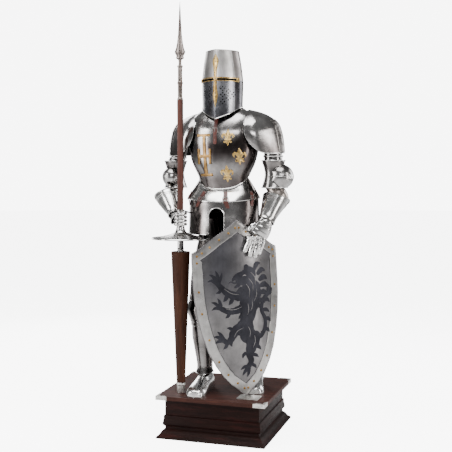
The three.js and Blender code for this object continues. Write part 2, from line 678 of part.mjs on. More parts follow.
// gauntlet cuffs from the wrist to the flared lip, higher on the outer side
const cuffs = {
  left: [
    [244, -104, 1112, 43, 34], [248, -96, 1124, 42, 33], [254, -80, 1148, 47, 40],
    [264, -52, 1184, 58, 52], [274, -26, 1216, 68, 64]
  ],
  right: [
    [-233, -152, 1140, 31, 28], [-242, -140, 1151, 30, 27], [-256, -122, 1168, 39, 36],
    [-281, -90, 1198, 53, 51], [-305, -60, 1228, 64, 62]
  ]
};
const cuffLift = [0, 0, 4, 14, 28];
sides.forEach(([name, side]) => {
  const outward = vec(side * 0.9, side < 0 ? 0 : 0.42, 0);
  const rows = limb(cuffs[name], outward, armSides, 2, (j, t, e1, e2, w) => {
    const lift = Math.max(0, Math.cos(t)) ** 2 * cuffLift[j];
    return w.clone().multiplyScalar(lift);
  });
  plate(`cuff_${name}`, 'steel', rows);
});

// lower arms, nested in the couters
const lowerArms = {
  left: [
    [275, -38.5, 1190, 42, 41], [288, -14, 1228, 51, 49], [268, -8, 1274, 44, 43],
    [258, -10, 1300, 46.4, 44.4], [258, -10, 1316, 46.4, 44.4]
  ],
  right: [
    [-284, -84, 1198, 36, 34], [-297, -38, 1236, 39, 38], [-283, -1, 1272, 42, 41],
    [-281, 2, 1300, 46, 44], [-281, 2, 1316, 46, 44]
  ]
};
sides.forEach(([name]) => {
  plate(`vambrace_${name}`, 'steel', limb(lowerArms[name], vec(1, 0, 0), armSides));
});

// left hand: plate over the back of the hand, fingers hanging over the shield
const shieldN = vec(Math.sin(rad(shieldTurn)), -Math.cos(rad(shieldTurn)), 0);
const shieldU0 = vec(Math.cos(rad(shieldTurn)), Math.sin(rad(shieldTurn)), 0);
const [rollSin, rollCos] = [Math.sin(rad(shieldRoll)), Math.cos(rad(shieldRoll))];
const shieldU = vec(0, 0, rollSin).addScaledVector(shieldU0, rollCos);
const shieldV = vec(0, 0, rollCos).addScaledVector(shieldU0, -rollSin);
function shieldPoint(q, v, out = 0) {
  const s = q / shieldRadius;
  const back = shieldRadius - Math.sqrt(shieldRadius ** 2 - q ** 2);
  const n = shieldN.clone().multiplyScalar(Math.sqrt(1 - s * s)).addScaledVector(shieldU, s);
  return vec(...shieldTip).addScaledVector(shieldU, q).addScaledVector(shieldV, v)
    .addScaledVector(shieldN, -back).addScaledVector(n, out);
}
// shield outline: rows of [half width, lower edge, upper edge]
const shieldEdge = [
  [0, 0, shieldHeight], [14, 12, 885], [40, 34, 866], [75, 64, 844], [110, 105, 822], [145, 163, 796],
  [175, 231, 774], [200, 322, 756], [217, 412, 746],
  [226, 500, 741], [228, 560, 700]
];
const shieldColumns = [...shieldEdge.slice(1).reverse().map(([q]) => -q), ...shieldEdge.map(([q]) => q)];
const shieldRows = [0, 0.33, 0.67, 1].map((h) => shieldColumns.map((q) => {
  const low = lookUp(shieldEdge, 0, 1, Math.abs(q));
  const high = lookUp(shieldEdge, 0, 2, Math.abs(q));
  return shieldPoint(q, mix(low, high, h));
}));
const shieldBody = (grow) => wall(shieldRows, shieldThickness, false, grow);
add('shield_face', 'steel', shieldBody(0), shieldBody(gap));
// border: a band along the outline, from the edge inward
const borderLine = [];
shieldEdge.forEach(([q, low]) => borderLine.push([q, low]));
shieldEdge.slice().reverse().forEach(([q, , high]) => borderLine.push([q, high]));
const fullLine = [...borderLine, ...borderLine.slice(1, -1).reverse().map(([q, v]) => [-q, v])];
const borderWidth = 46;
function insetLine(line, width) {
  return line.map(([q, v], i) => {
    const a = line[(i + line.length - 1) % line.length];
    const b = line[(i + 1) % line.length];
    const first = new THREE.Vector2(q - a[0], v - a[1]).normalize();
    const second = new THREE.Vector2(b[0] - q, b[1] - v).normalize();
    const normal = new THREE.Vector2(-(first.y + second.y), first.x + second.x).normalize();
    const sharp = Math.max(normal.dot(new THREE.Vector2(-first.y, first.x)), 0.45);
    return [q + normal.x * width / sharp, v + normal.y * width / sharp];
  });
}
const innerLine = insetLine(fullLine, borderWidth);
const outerLine = insetLine(fullLine, 2.5);
const borderOut = 3.5;
const borderSheet = 1.9;
const borderRows = [outerLine, innerLine].map((line) => (
  line.map(([q, v]) => shieldPoint(q, v, borderOut))
));
add('shield_border', 'steel', wall(borderRows, borderSheet, true));

// fingers: each lame starts a little narrower than the end of the one before
const lameStep = 0.86;
const fingerFlat = 0.85;
const fingerPower = 2.3;
function fingerRing(centre, direction, side, r) {
  return ring(centre, direction, side, r, r * fingerFlat, 6, fingerPower);
}
function finger(path, r0, r1, side, lames) {
  const curve = new THREE.CatmullRomCurve3(path.map((p) => vec(...p)), false, 'centripetal');
  const rings = [];
  for (let i = 0; i <= lames; i += 1) {
    const t = i / lames;
    const direction = curve.getTangent(Math.min(Math.max(t, 0.01), 0.99));
    const r = mix(r0, r1, t);
    const centre = curve.getPoint(t);
    const behind = centre.clone().addScaledVector(direction, -0.8);
    if (i > 0) rings.push(fingerRing(behind, direction, side, r * lameStep));
    rings.push(fingerRing(centre, direction, side, i === lames ? r * 0.6 : r));
  }
  return stack(rings);
}
plate('hand_left', 'steel', limb([
  [247, -98, 1121, 37, 28], [243, -105, 1109, 37, 27], [236, -112, 1090, 43, 24],
  [226, -120, 1066, 47, 20], [212, -128, 1040, 48, 15]
], vec(0.9, 0.42, 0), 12, 2.2));
const leftSide = vec(0.86, 0.5, 0);
const leftFingers = [
  [[170, -145, 1028], [166, -147, 1004], [154, -153, 976], [145, -148, 956]],
  [[190, -133, 1028], [186, -136, 1000], [176, -143, 960], [168, -137, 932]],
  [[210, -121, 1028], [207, -124, 1000], [199, -131, 958], [192, -125, 926]],
  [[231, -109, 1030], [229, -112, 1004], [218, -119, 970], [209, -115, 943]]
];
const leftKnuckle = stack([[204, -130, 1035], [201, -132, 1021]].map(([x, y, z]) => (
  ring(vec(x, y, z), vec(0, 0, 1), leftSide, 50, 12, 8, 3)
)));
const leftGrip = join(leftKnuckle, ...leftFingers.map((path) => finger(path, 12.4, 9.5, leftSide, 3)));
add('fingers_left', 'steel', clearOf(leftGrip, 'hand_left', 'shield_face', 'shield_border'));
const leftThumbPath = [[196, -134, 1094], [184, -146, 1088], [172, -152, 1078], [164, -154, 1066]];
const leftThumb = finger(leftThumbPath, 12, 9, vec(0, 0.5, 0.86), 3);
const leftThumbFree = clearOf(leftThumb, 'hand_left', 'fingers_left', 'shield_face', 'shield_border');
add('thumb_left', 'steel', leftThumbFree);

// right hand: closed round the lance's grip
plate('hand_right', 'steel', limb([
  [-242, -140, 1151, 23.5, 22.5], [-233, -152, 1139, 23, 20], [-229, -164, 1125, 31, 17],
  [-226, -173, 1117, 37, 13]
], vec(0.15, 0.25, 1), 12, 2.2));
function wrap(z, start, end, radius, thick, half) {
  const rings = [];
  const n = 4;
  for (let i = 0; i <= n; i += 1) {
    const t = rad(mix(start, end, i / n));
    const centre = vec(lanceX + Math.cos(t) * radius, lanceY + Math.sin(t) * radius, z);
    const direction = vec(-Math.sin(t), Math.cos(t), 0);
    const scale = i === n ? 0.75 : 1;
    if (i > 0 && i < n) {
      const behind = centre.clone().addScaledVector(direction, -0.6);
      rings.push(ring(behind, direction, vec(0, 0, 1), half * lameStep, thick * lameStep, 6, fingerPower));
    }
    rings.push(ring(centre, direction, vec(0, 0, 1), half * scale, thick * scale, 6, fingerPower));
  }
  return stack(rings);
}
const gripClear = gripRadius + gap;
const gripTool = turned([[0, 900], [gripClear, 900], [gripClear, 1300], [0, 1300]], 24, lanceX, lanceY);
const rightFingers = [1094, 1112, 1130, 1148].map((z) => wrap(z, 168, 400, 26.2, 9.2, 8.7));
const rightKnuckle = stack([-186, -178].map((y) => (
  ring(vec(-222, y, 1121), vec(0, 1, 0), vec(0, 0, 1), 37, 8, 8, 3)
)));
const rightGrip = join(rightKnuckle, ...rightFingers).subtract(gripTool);
add('fingers_right', 'steel', clearOf(rightGrip, 'hand_right', 'vamplate', 'lance_grip'));
const rightThumbPath = [[-212, -154, 1146], [-202, -150, 1144], [-190, -150, 1140], [-178, -154, 1135]];
const rightThumb = finger(rightThumbPath, 10.5, 8.5, vec(0, 0, 1), 3).subtract(gripTool);
add('thumb_right', 'steel', clearOf(rightThumb, 'hand_right', 'fingers_right', 'cuff_right'));

// stay between the lance and the skirt's side
const stayRadius = 19.5;
const stayTop = 1167.5;
const stayBottom = 1158;
const stayOutline = [
  [gripClear, stayBottom], [stayRadius, stayBottom], [stayRadius, stayTop], [gripClear, stayTop]
];
const stayRing = turned(stayOutline, 12, lanceX, lanceY);
// rod: rows of [across, back, height], the first two from the lance's axis
const stayRows = [[8, 15, 1162], [14, 40, 1158], [20, 90, 1148], [34, 120, 1146]];
const stayRod = stack(stayRows.map(([x, y, z]) => (
  ring(vec(lanceX + x, lanceY + y, z), vec(0.15, 1, -0.12), vec(1, 0, 0), 4, 4, 6)
)));
const stay = join(stayRing, stayRod).subtract(gripTool);
const stayNeighbours = ['skirt', 'hand_right', 'fingers_right', 'thumb_right', 'lance_shaft'];
add('lance_stay', 'dark', clearOf(stay, ...stayNeighbours));

// legs: rows of [x, y, z, half width, half depth]
const legSides = 14;
const instepDrop = 10;
const kneeHeight = 644;
const wingReach = 16;
const legs = {
  right: {
    cuisse: [
      [-98, -87.6, 694, 67.5, 70], [-98, -86.6, 716, 67.5, 70], [-97, -56, 810, 73, 76],
      [-88, 2, 950, 74, 74], [-84, 5, 1030, 69, 61], [-97, -16, 1126, 76, 62]
    ],
    poleyn: [
      [-99, -91, 570, 60, 60], [-99, -91, 586, 61.5, 62], [-99, -96, 612, 66, 70],
      [-99, -98, 642, 71, 76], [-98, -87, 684, 72, 75], [-98, -85, 718, 72.5, 75.5]
    ],
    greave: [
      [-92, -80, 313.6, 46, 51], [-92, -79, 345, 39, 44], [-97, -72, 450, 53, 58],
      [-100, -72, 510, 60, 64], [-100, -84, 538, 57, 59], [-99, -92.7, 562, 55.6, 55.6],
      [-99, -92.7, 588, 55.6, 55.6]
    ]
  },
  left: {
    cuisse: [
      [118, -2.6, 694, 67.5, 70], [118, -2, 716, 67.5, 70], [112, -6, 810, 73, 76],
      [100, -10, 950, 76, 78], [95, -10, 1030, 74, 74], [98, -14, 1126, 77, 68]
    ],
    poleyn: [
      [126, 1, 570, 60, 60], [126, 1, 586, 61.5, 62], [124, -3, 612, 66, 70], [122, -5, 642, 71, 76],
      [119, -1, 684, 72, 75], [118, 0, 718, 72.5, 75.5]
    ],
    greave: [
      [144, 69, 321.2, 46, 51], [144, 66, 345, 39, 44], [137, 44, 450, 53, 58], [132, 28, 510, 60, 64],
      [129, 8, 538, 57, 59], [126, -0.4, 562, 55.5, 55.5], [126, -0.4, 588, 55.5, 55.5]
    ]
  }
};
// feet: rows of [distance ahead of the ankle, half width, height of the top]
const footRows = [
  [-62, 30, 74], [-48, 40, 88], [0, 44, 94], [42, 43, 88], [96, 48, 68], [152, 53, 48], [180, 42, 34],
  [188, 30, 24]
];
const feet = { right: [-90, -76, 0], left: [144, 72, 12] };
function sabaton(name) {
  const [x, y, turn] = feet[name];
  const forward = vec(Math.sin(rad(turn)), -Math.cos(rad(turn)), 0);
  const across = vec(Math.cos(rad(turn)), Math.sin(rad(turn)), 0);
  const sole = boardTop + gap;
  const section = (ahead, half, high, grow) => {
    const out = [];
    const n = 8;
    for (let i = 0; i <= n; i += 1) {
      const t = (i / n) * Math.PI;
      const c = Math.sign(Math.cos(t)) * Math.abs(Math.cos(t)) ** 0.8;
      const s = Math.sin(t) ** 0.75;
      out.push(vec(x, y, 0).addScaledVector(forward, ahead).addScaledVector(across, c * (half + grow))
        .add(vec(0, 0, sole - (grow < 0 ? 1 : 0) + s * (high + grow))));
    }
    return out;
  };
  const outer = stack(footRows.map(([a, h, t]) => section(a, h, t, 0)));
  const fat = stack(footRows.map(([a, h, t]) => section(a, h, t, gap)));
  const rows = footRows.map(([a, h, t], i) => {
    const end = i === 0 ? 3 : (i === footRows.length - 1 ? -3 : 0);
    return section(a + end, h, t, -2.8);
  });
  return { outer, fat, inner: stack(rows) };
}
for (const name of ['right', 'left']) {
  const { outer, inner, fat } = sabaton(name);
  const ankle = legs[name].greave[1];
  const opening = stack([290, 380].map((z) => (
    ring(vec(ankle[0], ankle[1], z), vec(0, 0, 1), vec(1, 0, 0), 36, 40, 16)
  )));
  const floorTool = block(-300, 300, -300, 300, 150, boardTop + gap);
  const shell = largest(outer.subtract(inner).subtract(opening).subtract(floorTool));
  add(`sabaton_${name}`, 'steel', shell, fat);
}
for (const name of ['right', 'left']) {
  const { cuisse, poleyn, greave } = legs[name];
  const front = vec(1, 0, 0);
  const wingSide = name === 'left' ? 0 : Math.PI;
  const knee = limb(poleyn, front, legSides, 2, (j, t, e1, e2) => {
    const wing = wingReach * bump(poleyn[j][2] - kneeHeight, 30) * bump(turnBetween(t, wingSide), 0.45);
    return e1.clone().multiplyScalar(Math.cos(t) * wing).addScaledVector(e2, Math.sin(t) * wing);
  });
  const shin = limb(greave, front, legSides, 2, (j, t) => (
    vec(0, 0, j === 0 ? -instepDrop * Math.max(0, -Math.sin(t)) ** 2 : 0)
  ));
  plate(`poleyn_${name}`, 'steel', knee);
  plate(`greave_${name}`, 'steel', shin);
  plate(`cuisse_${name}`, 'steel', limb(cuisse, front, legSides));
}

export default suit;
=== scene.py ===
import math

import bmesh
import bpy
from mathutils import Matrix, Vector


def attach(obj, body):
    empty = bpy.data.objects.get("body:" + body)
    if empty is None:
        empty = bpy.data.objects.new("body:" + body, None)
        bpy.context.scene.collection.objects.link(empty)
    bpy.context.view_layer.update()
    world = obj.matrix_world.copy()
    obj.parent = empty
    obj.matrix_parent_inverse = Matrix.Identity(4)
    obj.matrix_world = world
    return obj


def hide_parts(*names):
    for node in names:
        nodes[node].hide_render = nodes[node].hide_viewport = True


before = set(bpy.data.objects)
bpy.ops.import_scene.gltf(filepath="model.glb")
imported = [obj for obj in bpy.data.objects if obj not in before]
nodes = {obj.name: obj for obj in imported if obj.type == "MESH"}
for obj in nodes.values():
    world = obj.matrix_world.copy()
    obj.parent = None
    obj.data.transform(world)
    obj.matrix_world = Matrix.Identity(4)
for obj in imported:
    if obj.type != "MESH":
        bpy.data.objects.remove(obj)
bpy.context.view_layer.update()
print("frame loaded:", len(nodes), "nodes")

# Shapes are worked out in millimetres, and a finished piece is scaled to metres.
millimetre = 0.001
fullTurn = 2 * math.pi
plateWall = 2.4
sharpAngle = 32  # an edge with more degrees between its faces stays sharp


# small numbers
def mix(a, b, t):
    return a + (b - a) * t


def ease(t):
    t = min(1, max(0, t))
    return t * t * (3 - 2 * t)


def hump(distance, width):
    return math.exp(-((distance / width) ** 2))


def power(value, exponent):
    return math.copysign(abs(value) ** exponent, value)


def fold(u):
    # there and back: 0 at either end, 1 halfway
    return 2 * u if u <= 0.5 else 2 - 2 * u


def straightAt(rows, value):
    # rows start with the value that they stand for, in rising order
    if value <= rows[0][0]:
        return list(rows[0][1:])
    for low, high in zip(rows, rows[1:]):
        if value <= high[0]:
            t = (value - low[0]) / (high[0] - low[0])
            return [mix(a, b, t) for a, b in zip(low[1:], high[1:])]
    return list(rows[-1][1:])


def smoothAt(rows, value):
    # the same, along a smooth curve through the rows
    last = len(rows) - 1
    value = min(max(value, rows[0][0]), rows[last][0])
    i = next(k for k in range(last) if value <= rows[k + 1][0])
    step = rows[i + 1][0] - rows[i][0]
    t = (value - rows[i][0]) / step

    def slope(k, column):
        before, after = rows[max(k - 1, 0)], rows[min(k + 1, last)]
        return (after[column] - before[column]) / (after[0] - before[0]) * step

    out = []
    for column in range(1, len(rows[0])):
        a, b = rows[i][column], rows[i + 1][column]
        p, q = slope(i, column), slope(i + 1, column)
        out.append((2 * t**3 - 3 * t**2 + 1) * a + (t**3 - 2 * t**2 + t) * p
                   + (3 * t**2 - 2 * t**3) * b + (t**3 - t**2) * q)
    return out


def curvePoint(points, t, closed=False):
    # a point of the smooth line through a list of points, t from 0 to 1
    count = len(points)
    spans = count if closed else count - 1
    i = min(int(t * spans), spans - 1)
    f = t * spans - i

    def pick(k):
        return Vector(points[k % count] if closed else points[max(0, min(count - 1, k))])

    a, b, c, d = (pick(i + k) for k in (-1, 0, 1, 2))
    return 0.5 * (2 * b + (c - a) * f + (2 * a - 5 * b + 4 * c - d) * f * f
                  + (3 * b - a - 3 * c + d) * f**3)


# making meshes
def sheet(bm, place, across, up, roundWay=False, upWay=False):
    # a grid bent into place: place(u, v) gives the point, u and v from 0 to 1
    made = bmesh.ops.create_grid(bm, x_segments=across, y_segments=up, size=1)
    verts = made["verts"]
    low = min(v.co.x for v in verts)
    high = max(v.co.x for v in verts)
    foot = min(v.co.y for v in verts)
    head = max(v.co.y for v in verts)
    for v in verts:
        v.co = place((v.co.x - low) / (high - low), (v.co.y - foot) / (head - foot))
    faces = list({f for v in verts for f in v.link_faces})
    if roundWay or upWay:
        bmesh.ops.remove_doubles(bm, verts=verts, dist=0.005)
        faces = [f for f in faces if f.is_valid]
    return faces


def closeEnds(bm, faces):
    # fills the open ends of a sheet that runs round
    edges = dict.fromkeys(e for f in faces for e in f.edges if e.is_boundary)
    bmesh.ops.holes_fill(bm, edges=list(edges), sides=0)


def turnOut(bm):
    bmesh.ops.recalc_face_normals(bm, faces=bm.faces[:])


def faceOut(bm, faces, middle):
    # turns a sheet's faces away from its middle
    live = [f for f in faces if f.calc_area() > 1e-9]
    bmesh.ops.recalc_face_normals(bm, faces=live)
    total = sum(f.normal.dot(f.calc_center_median() - middle) * f.calc_area() for f in live)
    if total < 0:
        bmesh.ops.reverse_faces(bm, faces=live)
    return live


def thicken(bm, faces, thickness, insideShade, middle):
    # gives a sheet its wall, inward, and its inner side another material
    live = faceOut(bm, faces, middle)
    verts = list({v for f in live for v in f.verts})
    edges = list({e for f in live for e in f.edges})
    known = set(bm.faces)
    grown = bmesh.ops.extrude_face_region(bm, geom=verts + edges + live, use_keep_orig=True)["geom"]
    inner = {g for g in grown if isinstance(g, bmesh.types.BMFace) and g not in known}
    moves = {}
    for f in inner:
        for v in f.verts:
            moves[v] = moves.get(v, Vector()) + f.normal
    for v, normal in moves.items():
        v.co -= normal.normalized() * thickness
    for f in inner:
        f.material_index = insideShade
    fresh = [f for f in bm.faces if f not in known]
    bmesh.ops.recalc_face_normals(bm, faces=live + fresh)


def stroke(bm, rows, place, half=0.3, sides=12, steps=30, wobble=0.0):
    # a flat pad with round ends along rows of [across, up, half width]; place(x, z, out) puts it down
    def at(u, v):
        x, z, wide = curvePoint(rows, v)
        ahead = curvePoint(rows, min(1, v + 0.02)) - curvePoint(rows, max(0, v - 0.02))
        length = math.hypot(ahead.x, ahead.y) or 1
        turn = u * fullTurn
        wide = max(0.3, wide) * (1 + wobble * math.sin(v * 40 + rows[0][0]))
        wide *= math.sqrt(max(0.01, 1 - max(0, 1 - v * 8) ** 2)) * math.cos(turn)
        return place(x - ahead.y / length * wide, z + ahead.x / length * wide, half * math.sin(turn))

    closeEnds(bm, sheet(bm, at, sides, steps, True))


def tubeAlong(bm, points, radius, closed=False, sides=8, steps=None, flat=1.0, wave=None):
    # a round bar along a line of points, such as a rolled edge
    steps = steps or max(6, len(points) * 2)
    spans = steps if closed else steps - 1
    line = [curvePoint(points, k / spans, closed) for k in range(steps)]
    around = []
    normal = None
    for k in range(steps):
        ahead = line[(k + 1) % steps] if closed else line[min(k + 1, steps - 1)]
        behind = line[k - 1] if closed else line[max(k - 1, 0)]
        along = (ahead - behind).normalized()
        if normal is None:
            normal = along.orthogonal().normalized()
        normal = (normal - along * normal.dot(along)).normalized()
        around.append((line[k], normal.copy(), along.cross(normal)))

    def place(u, v):
        k = round(u * (steps if closed else steps - 1))
        centre, a, b = around[k % steps]
        size = radius * (wave(u) if wave else 1)
        turn = v * fullTurn
        return centre + a * math.cos(turn) * size + b * math.sin(turn) * size * flat

    faces = sheet(bm, place, steps if closed else steps - 1, sides, True, closed)
    bmesh.ops.recalc_face_normals(bm, faces=faces)
    if not closed:
        closeEnds(bm, faces)


def lathe(bm, outline, x, y, steps=64):
    # turns an outline of [radius, height] about an upright axis
    verts = [bm.verts.new((x + r, y, z)) for r, z in outline]
    edges = [bm.edges.new(pair) for pair in zip(verts, verts[1:])]
    bmesh.ops.spin(bm, geom=verts + edges, cent=(x, y, 0), axis=(0, 0, 1), angle=fullTurn,
                   steps=steps, use_merge=True)
    bmesh.ops.remove_doubles(bm, verts=bm.verts[:], dist=0.01)
    turnOut(bm)


def rivet(bm, at, outward, radius, height=None, segments=12):
    # a domed head standing on a surface
    turn = Vector(outward).normalized().to_track_quat("Z", "Y").to_matrix().to_4x4()
    size = Matrix.Diagonal((radius, radius, height or radius * 0.6, 1))
    bmesh.ops.create_uvsphere(bm, u_segments=segments, v_segments=max(6, segments // 2), radius=1,
                              matrix=Matrix.Translation(at) @ turn @ size)


def finish(name, bm, finishes, replaced=(), slot=None, sharp=sharpAngle, paintedShade=None):
    # scales the piece to metres, shades it, and lets it ride with the suit
    # painted shade: a value per point, 0 for none and 1 for full, which darkens the colour where shade and
    # dark reflections fall
    layer = bm.verts.layers.float.new("paintedShade")
    for v in bm.verts:
        v[layer] = min(1, max(0, paintedShade(v.co))) if paintedShade else 0
    bmesh.ops.scale(bm, vec=(millimetre,) * 3, verts=bm.verts[:])
    loose = [v for v in bm.verts if not v.link_faces]
    bmesh.ops.delete(bm, geom=loose, context="VERTS")
    for f in bm.faces:
        f.smooth = True
    mesh = bpy.data.meshes.new(name)
    bm.to_mesh(mesh)
    bm.free()
    mesh.set_sharp_from_angle(angle=math.radians(sharp))
    piece = bpy.data.objects.new(name, mesh)
    bpy.context.scene.collection.objects.link(piece)
    for material in finishes if isinstance(finishes, (list, tuple)) else [finishes]:
        mesh.materials.append(material)
    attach(piece, "root")
    if replaced:
        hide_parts(*replaced)
    return piece


def trim(name, bm):
    # an edge, rim or row of rivets, in a lighter copy of the steel that paints a highlight on it
    finish(name, bm, highlightSteel, slot="plate_steel")


def plate(name, place, across, up, middle, outside, paintedShade=None, sharp=sharpAngle, closed=True):
    # a steel plate whose inner side is painted near black as shade, in place of its node: place(u, v) gives
    # its outer side
    bm = bmesh.new()
    thicken(bm, sheet(bm, place, across, up, closed), plateWall, 1, middle)
    return finish(f"{name}_fine", bm, [outside, insideShade], (name,), "plate_steel", sharp, paintedShade)


def hoop(bm, place, radius, count=48, sides=8):
    # a bar once round a plate: place(u) gives its line
    tubeAlong(bm, [place(k / count) for k in range(count)], radius, True, sides, 2 * count)


def cutWith(piece, cutter):
    # cuts one mesh with another, which is then removed
    change = piece.modifiers.new("cut", "BOOLEAN")
    change.operation = "DIFFERENCE"
    change.solver = "EXACT"
    change.object = cutter
    graph = bpy.context.evaluated_depsgraph_get()
    cut = bpy.data.meshes.new_from_object(piece.evaluated_get(graph))
    piece.modifiers.clear()
    old = piece.data
    piece.data = cut
    bpy.data.meshes.remove(old)
    bpy.data.objects.remove(cutter)
    cut.set_sharp_from_angle(angle=math.radians(sharpAngle))


def cutterFrom(bm):
    bmesh.ops.scale(bm, vec=(millimetre,) * 3, verts=bm.verts[:])
    turnOut(bm)
    mesh = bpy.data.meshes.new("cutter")
    bm.to_mesh(mesh)
    bm.free()
    cutter = bpy.data.objects.new("cutter", mesh)
    bpy.context.scene.collection.objects.link(cutter)
    return cutter


# finishes
def nodeTree(name):
    material = bpy.data.materials.new(name)
    material.use_nodes = True
    tree = material.node_tree
    shader = tree.nodes["Principled BSDF"]
    place = tree.nodes.new("ShaderNodeTexCoord")
    return material, tree, shader, place.outputs["Object"]


def stretched(tree, source, scale):
    mapping = tree.nodes.new("ShaderNodeMapping")
    mapping.inputs["Scale"].default_value = scale
    tree.links.new(source, mapping.inputs["Vector"])
    return mapping.outputs["Vector"]


def noise(tree, source, scale, detail=3, roughness=0.55):
    node = tree.nodes.new("ShaderNodeTexNoise")
    node.inputs["Scale"].default_value = scale
    node.inputs["Detail"].default_value = detail
    node.inputs["Roughness"].default_value = roughness
    tree.links.new(source, node.inputs["Vector"])
    return node.outputs["Fac"]


def ramp(tree, source, stops):
    node = tree.nodes.new("ShaderNodeValToRGB")
    while len(node.color_ramp.elements) < len(stops):
        node.color_ramp.elements.new(0.5)
    for element, (at, colour) in zip(node.color_ramp.elements, stops):
        element.position = at
        element.color = (*colour, 1) if len(colour) == 3 else colour
    tree.links.new(source, node.inputs["Fac"])
    return node.outputs["Color"]


def blendColours(tree, share, first, second, way="MIX"):
    node = tree.nodes.new("ShaderNodeMix")
    node.data_type = "RGBA"
    node.blend_type = way
    for key, value in ((0, share), (6, first), (7, second)):
        if isinstance(value, bpy.types.NodeSocket):
            tree.links.new(value, node.inputs[key])
        elif key == 0:
            node.inputs[key].default_value = value
        else:
            node.inputs[key].default_value = (*value, 1)
    return node.outputs[2]


def bumpFrom(tree, shader, height, distance, strength=1.0, under=None):
    node = tree.nodes.new("ShaderNodeBump")
    node.inputs["Distance"].default_value = distance
    node.inputs["Strength"].default_value = strength
    tree.links.new(height, node.inputs["Height"])
    if under:
        tree.links.new(under, node.inputs["Normal"])
    tree.links.new(node.outputs["Normal"], shader.inputs["Normal"])
    return node.outputs["Normal"]


def metal(name, values):
    # worn polish: cloudy tarnish, fine brushing and small dents
    material, tree, shader, here = nodeTree(name)
    shader.inputs["Metallic"].default_value = 1.0
    cloud = noise(tree, here, values["cloudScale"], 5, 0.62)
    colour = ramp(tree, cloud, [(0.3, values["dark"]), (0.52, values["main"]), (0.75, values["bright"])])
    brushed = noise(tree, stretched(tree, here, values["brush"]), 1.0, 3, 0.6)
    streak = ramp(tree, brushed, [(0.35, (0.78, 0.78, 0.78)), (0.65, (1, 1, 1))])
    colour = blendColours(tree, values["streak"], colour, streak, "MULTIPLY")
    # painted shade: where the piece's per-point value is high, the colour is multiplied down by its darker
    # tint
    paintedShade = tree.nodes.new("ShaderNodeAttribute")
    paintedShade.attribute_name = "paintedShade"
    shadeTint = blendColours(tree, 1.0, colour, values["shadeTint"], "MULTIPLY")
    colour = blendColours(tree, paintedShade.outputs["Fac"], colour, shadeTint)
    tree.links.new(colour, shader.inputs["Base Color"])
    gloss = ramp(tree, noise(tree, here, values["cloudScale"] * 2.3, 4),
                 [(0.3, (values["polish"],) * 3), (0.75, (values["dull"],) * 3)])
    tree.links.new(gloss, shader.inputs["Roughness"])
    soft = bumpFrom(tree, shader, noise(tree, here, values["dentScale"], 2, 0.4), values["dent"])
    bumpFrom(tree, shader, brushed, values["brushDepth"], 0.6, soft)
    return material


steelValues = {
    "dark": (0.17, 0.16, 0.155), "main": (0.42, 0.41, 0.405), "bright": (0.66, 0.655, 0.65),
    "shadeTint": (0.2, 0.17, 0.165), "cloudScale": 7.0, "brush": (60, 60, 5), "streak": 0.4,
    "polish": 0.13, "dull": 0.32, "dentScale": 9.0, "dent": 0.0022, "brushDepth": 0.00006
}
steel = metal("plate steel", steelValues)
darkSteel = metal("tarnished steel", {
    **steelValues, "dark": (0.10, 0.09, 0.085), "main": (0.24, 0.225, 0.215), "bright": (0.4, 0.385, 0.37),
    "polish": 0.24, "dull": 0.45
})
helmSteel = metal("brushed helm steel", {
    **steelValues, "dark": (0.36, 0.35, 0.34), "main": (0.6, 0.59, 0.58), "bright": (0.78, 0.775, 0.77),
    "shadeTint": (0.3, 0.26, 0.25), "polish": 0.3, "dull": 0.44
})
blueSteel = metal("blued steel", {
    **steelValues, "dark": (0.11, 0.11, 0.125), "main": (0.24, 0.245, 0.27), "bright": (0.38, 0.385, 0.41),
    "polish": 0.18, "dull": 0.36
})
warmSteel = metal("brown steel", {
    **steelValues, "dark": (0.16, 0.13, 0.115), "main": (0.34, 0.3, 0.275), "bright": (0.5, 0.45, 0.42),
    "polish": 0.22, "dull": 0.4
})
# a lighter copy of the plate steel, slightly less rough: painted highlight on the rims, the fauld, the
# gauntlets and the sabatons
highlightSteel = metal("painted highlight steel", {
    **steelValues, "dark": (0.5, 0.49, 0.48), "main": (0.72, 0.71, 0.7), "bright": (0.85, 0.85, 0.84),
    "polish": 0.12, "dull": 0.25, "dent": 0.0004
})
shieldSteel = metal("shield steel", {
    **steelValues, "dark": (0.13, 0.125, 0.125), "main": (0.25, 0.24, 0.24), "bright": (0.4, 0.385, 0.38),
    "shadeTint": (0.34, 0.35, 0.4),
    "polish": 0.26, "dull": 0.42, "brush": (90, 90, 4), "cloudScale": 5.0, "dent": 0.0008
})
borderSteel = metal("shield border steel", {
    **steelValues, "dark": (0.26, 0.25, 0.245), "main": (0.44, 0.43, 0.42), "bright": (0.62, 0.61, 0.6),
    "polish": 0.24, "dull": 0.4, "brush": (90, 90, 4), "dent": 0.001
})
lionSteel = metal("etched steel", {
    **steelValues, "dark": (0.02, 0.02, 0.024), "main": (0.036, 0.036, 0.043), "bright": (0.06, 0.06, 0.07),
    "polish": 0.4, "dull": 0.6, "dent": 0.0003
})
dullBrass = metal("tarnished brass", {
    **steelValues, "dark": (0.12, 0.065, 0.025), "main": (0.27, 0.16, 0.06), "bright": (0.42, 0.27, 0.11),
    "polish": 0.28, "dull": 0.5, "cloudScale": 40.0, "dent": 0.0003
})
brass = metal("aged brass", {
    **steelValues, "dark": (0.30, 0.17, 0.05), "main": (0.58, 0.38, 0.13), "bright": (0.82, 0.62, 0.28),
    "polish": 0.2, "dull": 0.42, "cloudScale": 30.0, "dent": 0.0003
})
silver = metal("engraved silver", {
    **steelValues, "dark": (0.4, 0.39, 0.37), "main": (0.66, 0.65, 0.62), "bright": (0.85, 0.84, 0.8),
    "cloudScale": 60.0, "polish": 0.25, "dull": 0.45, "dent": 0.0012, "dentScale": 160.0
})


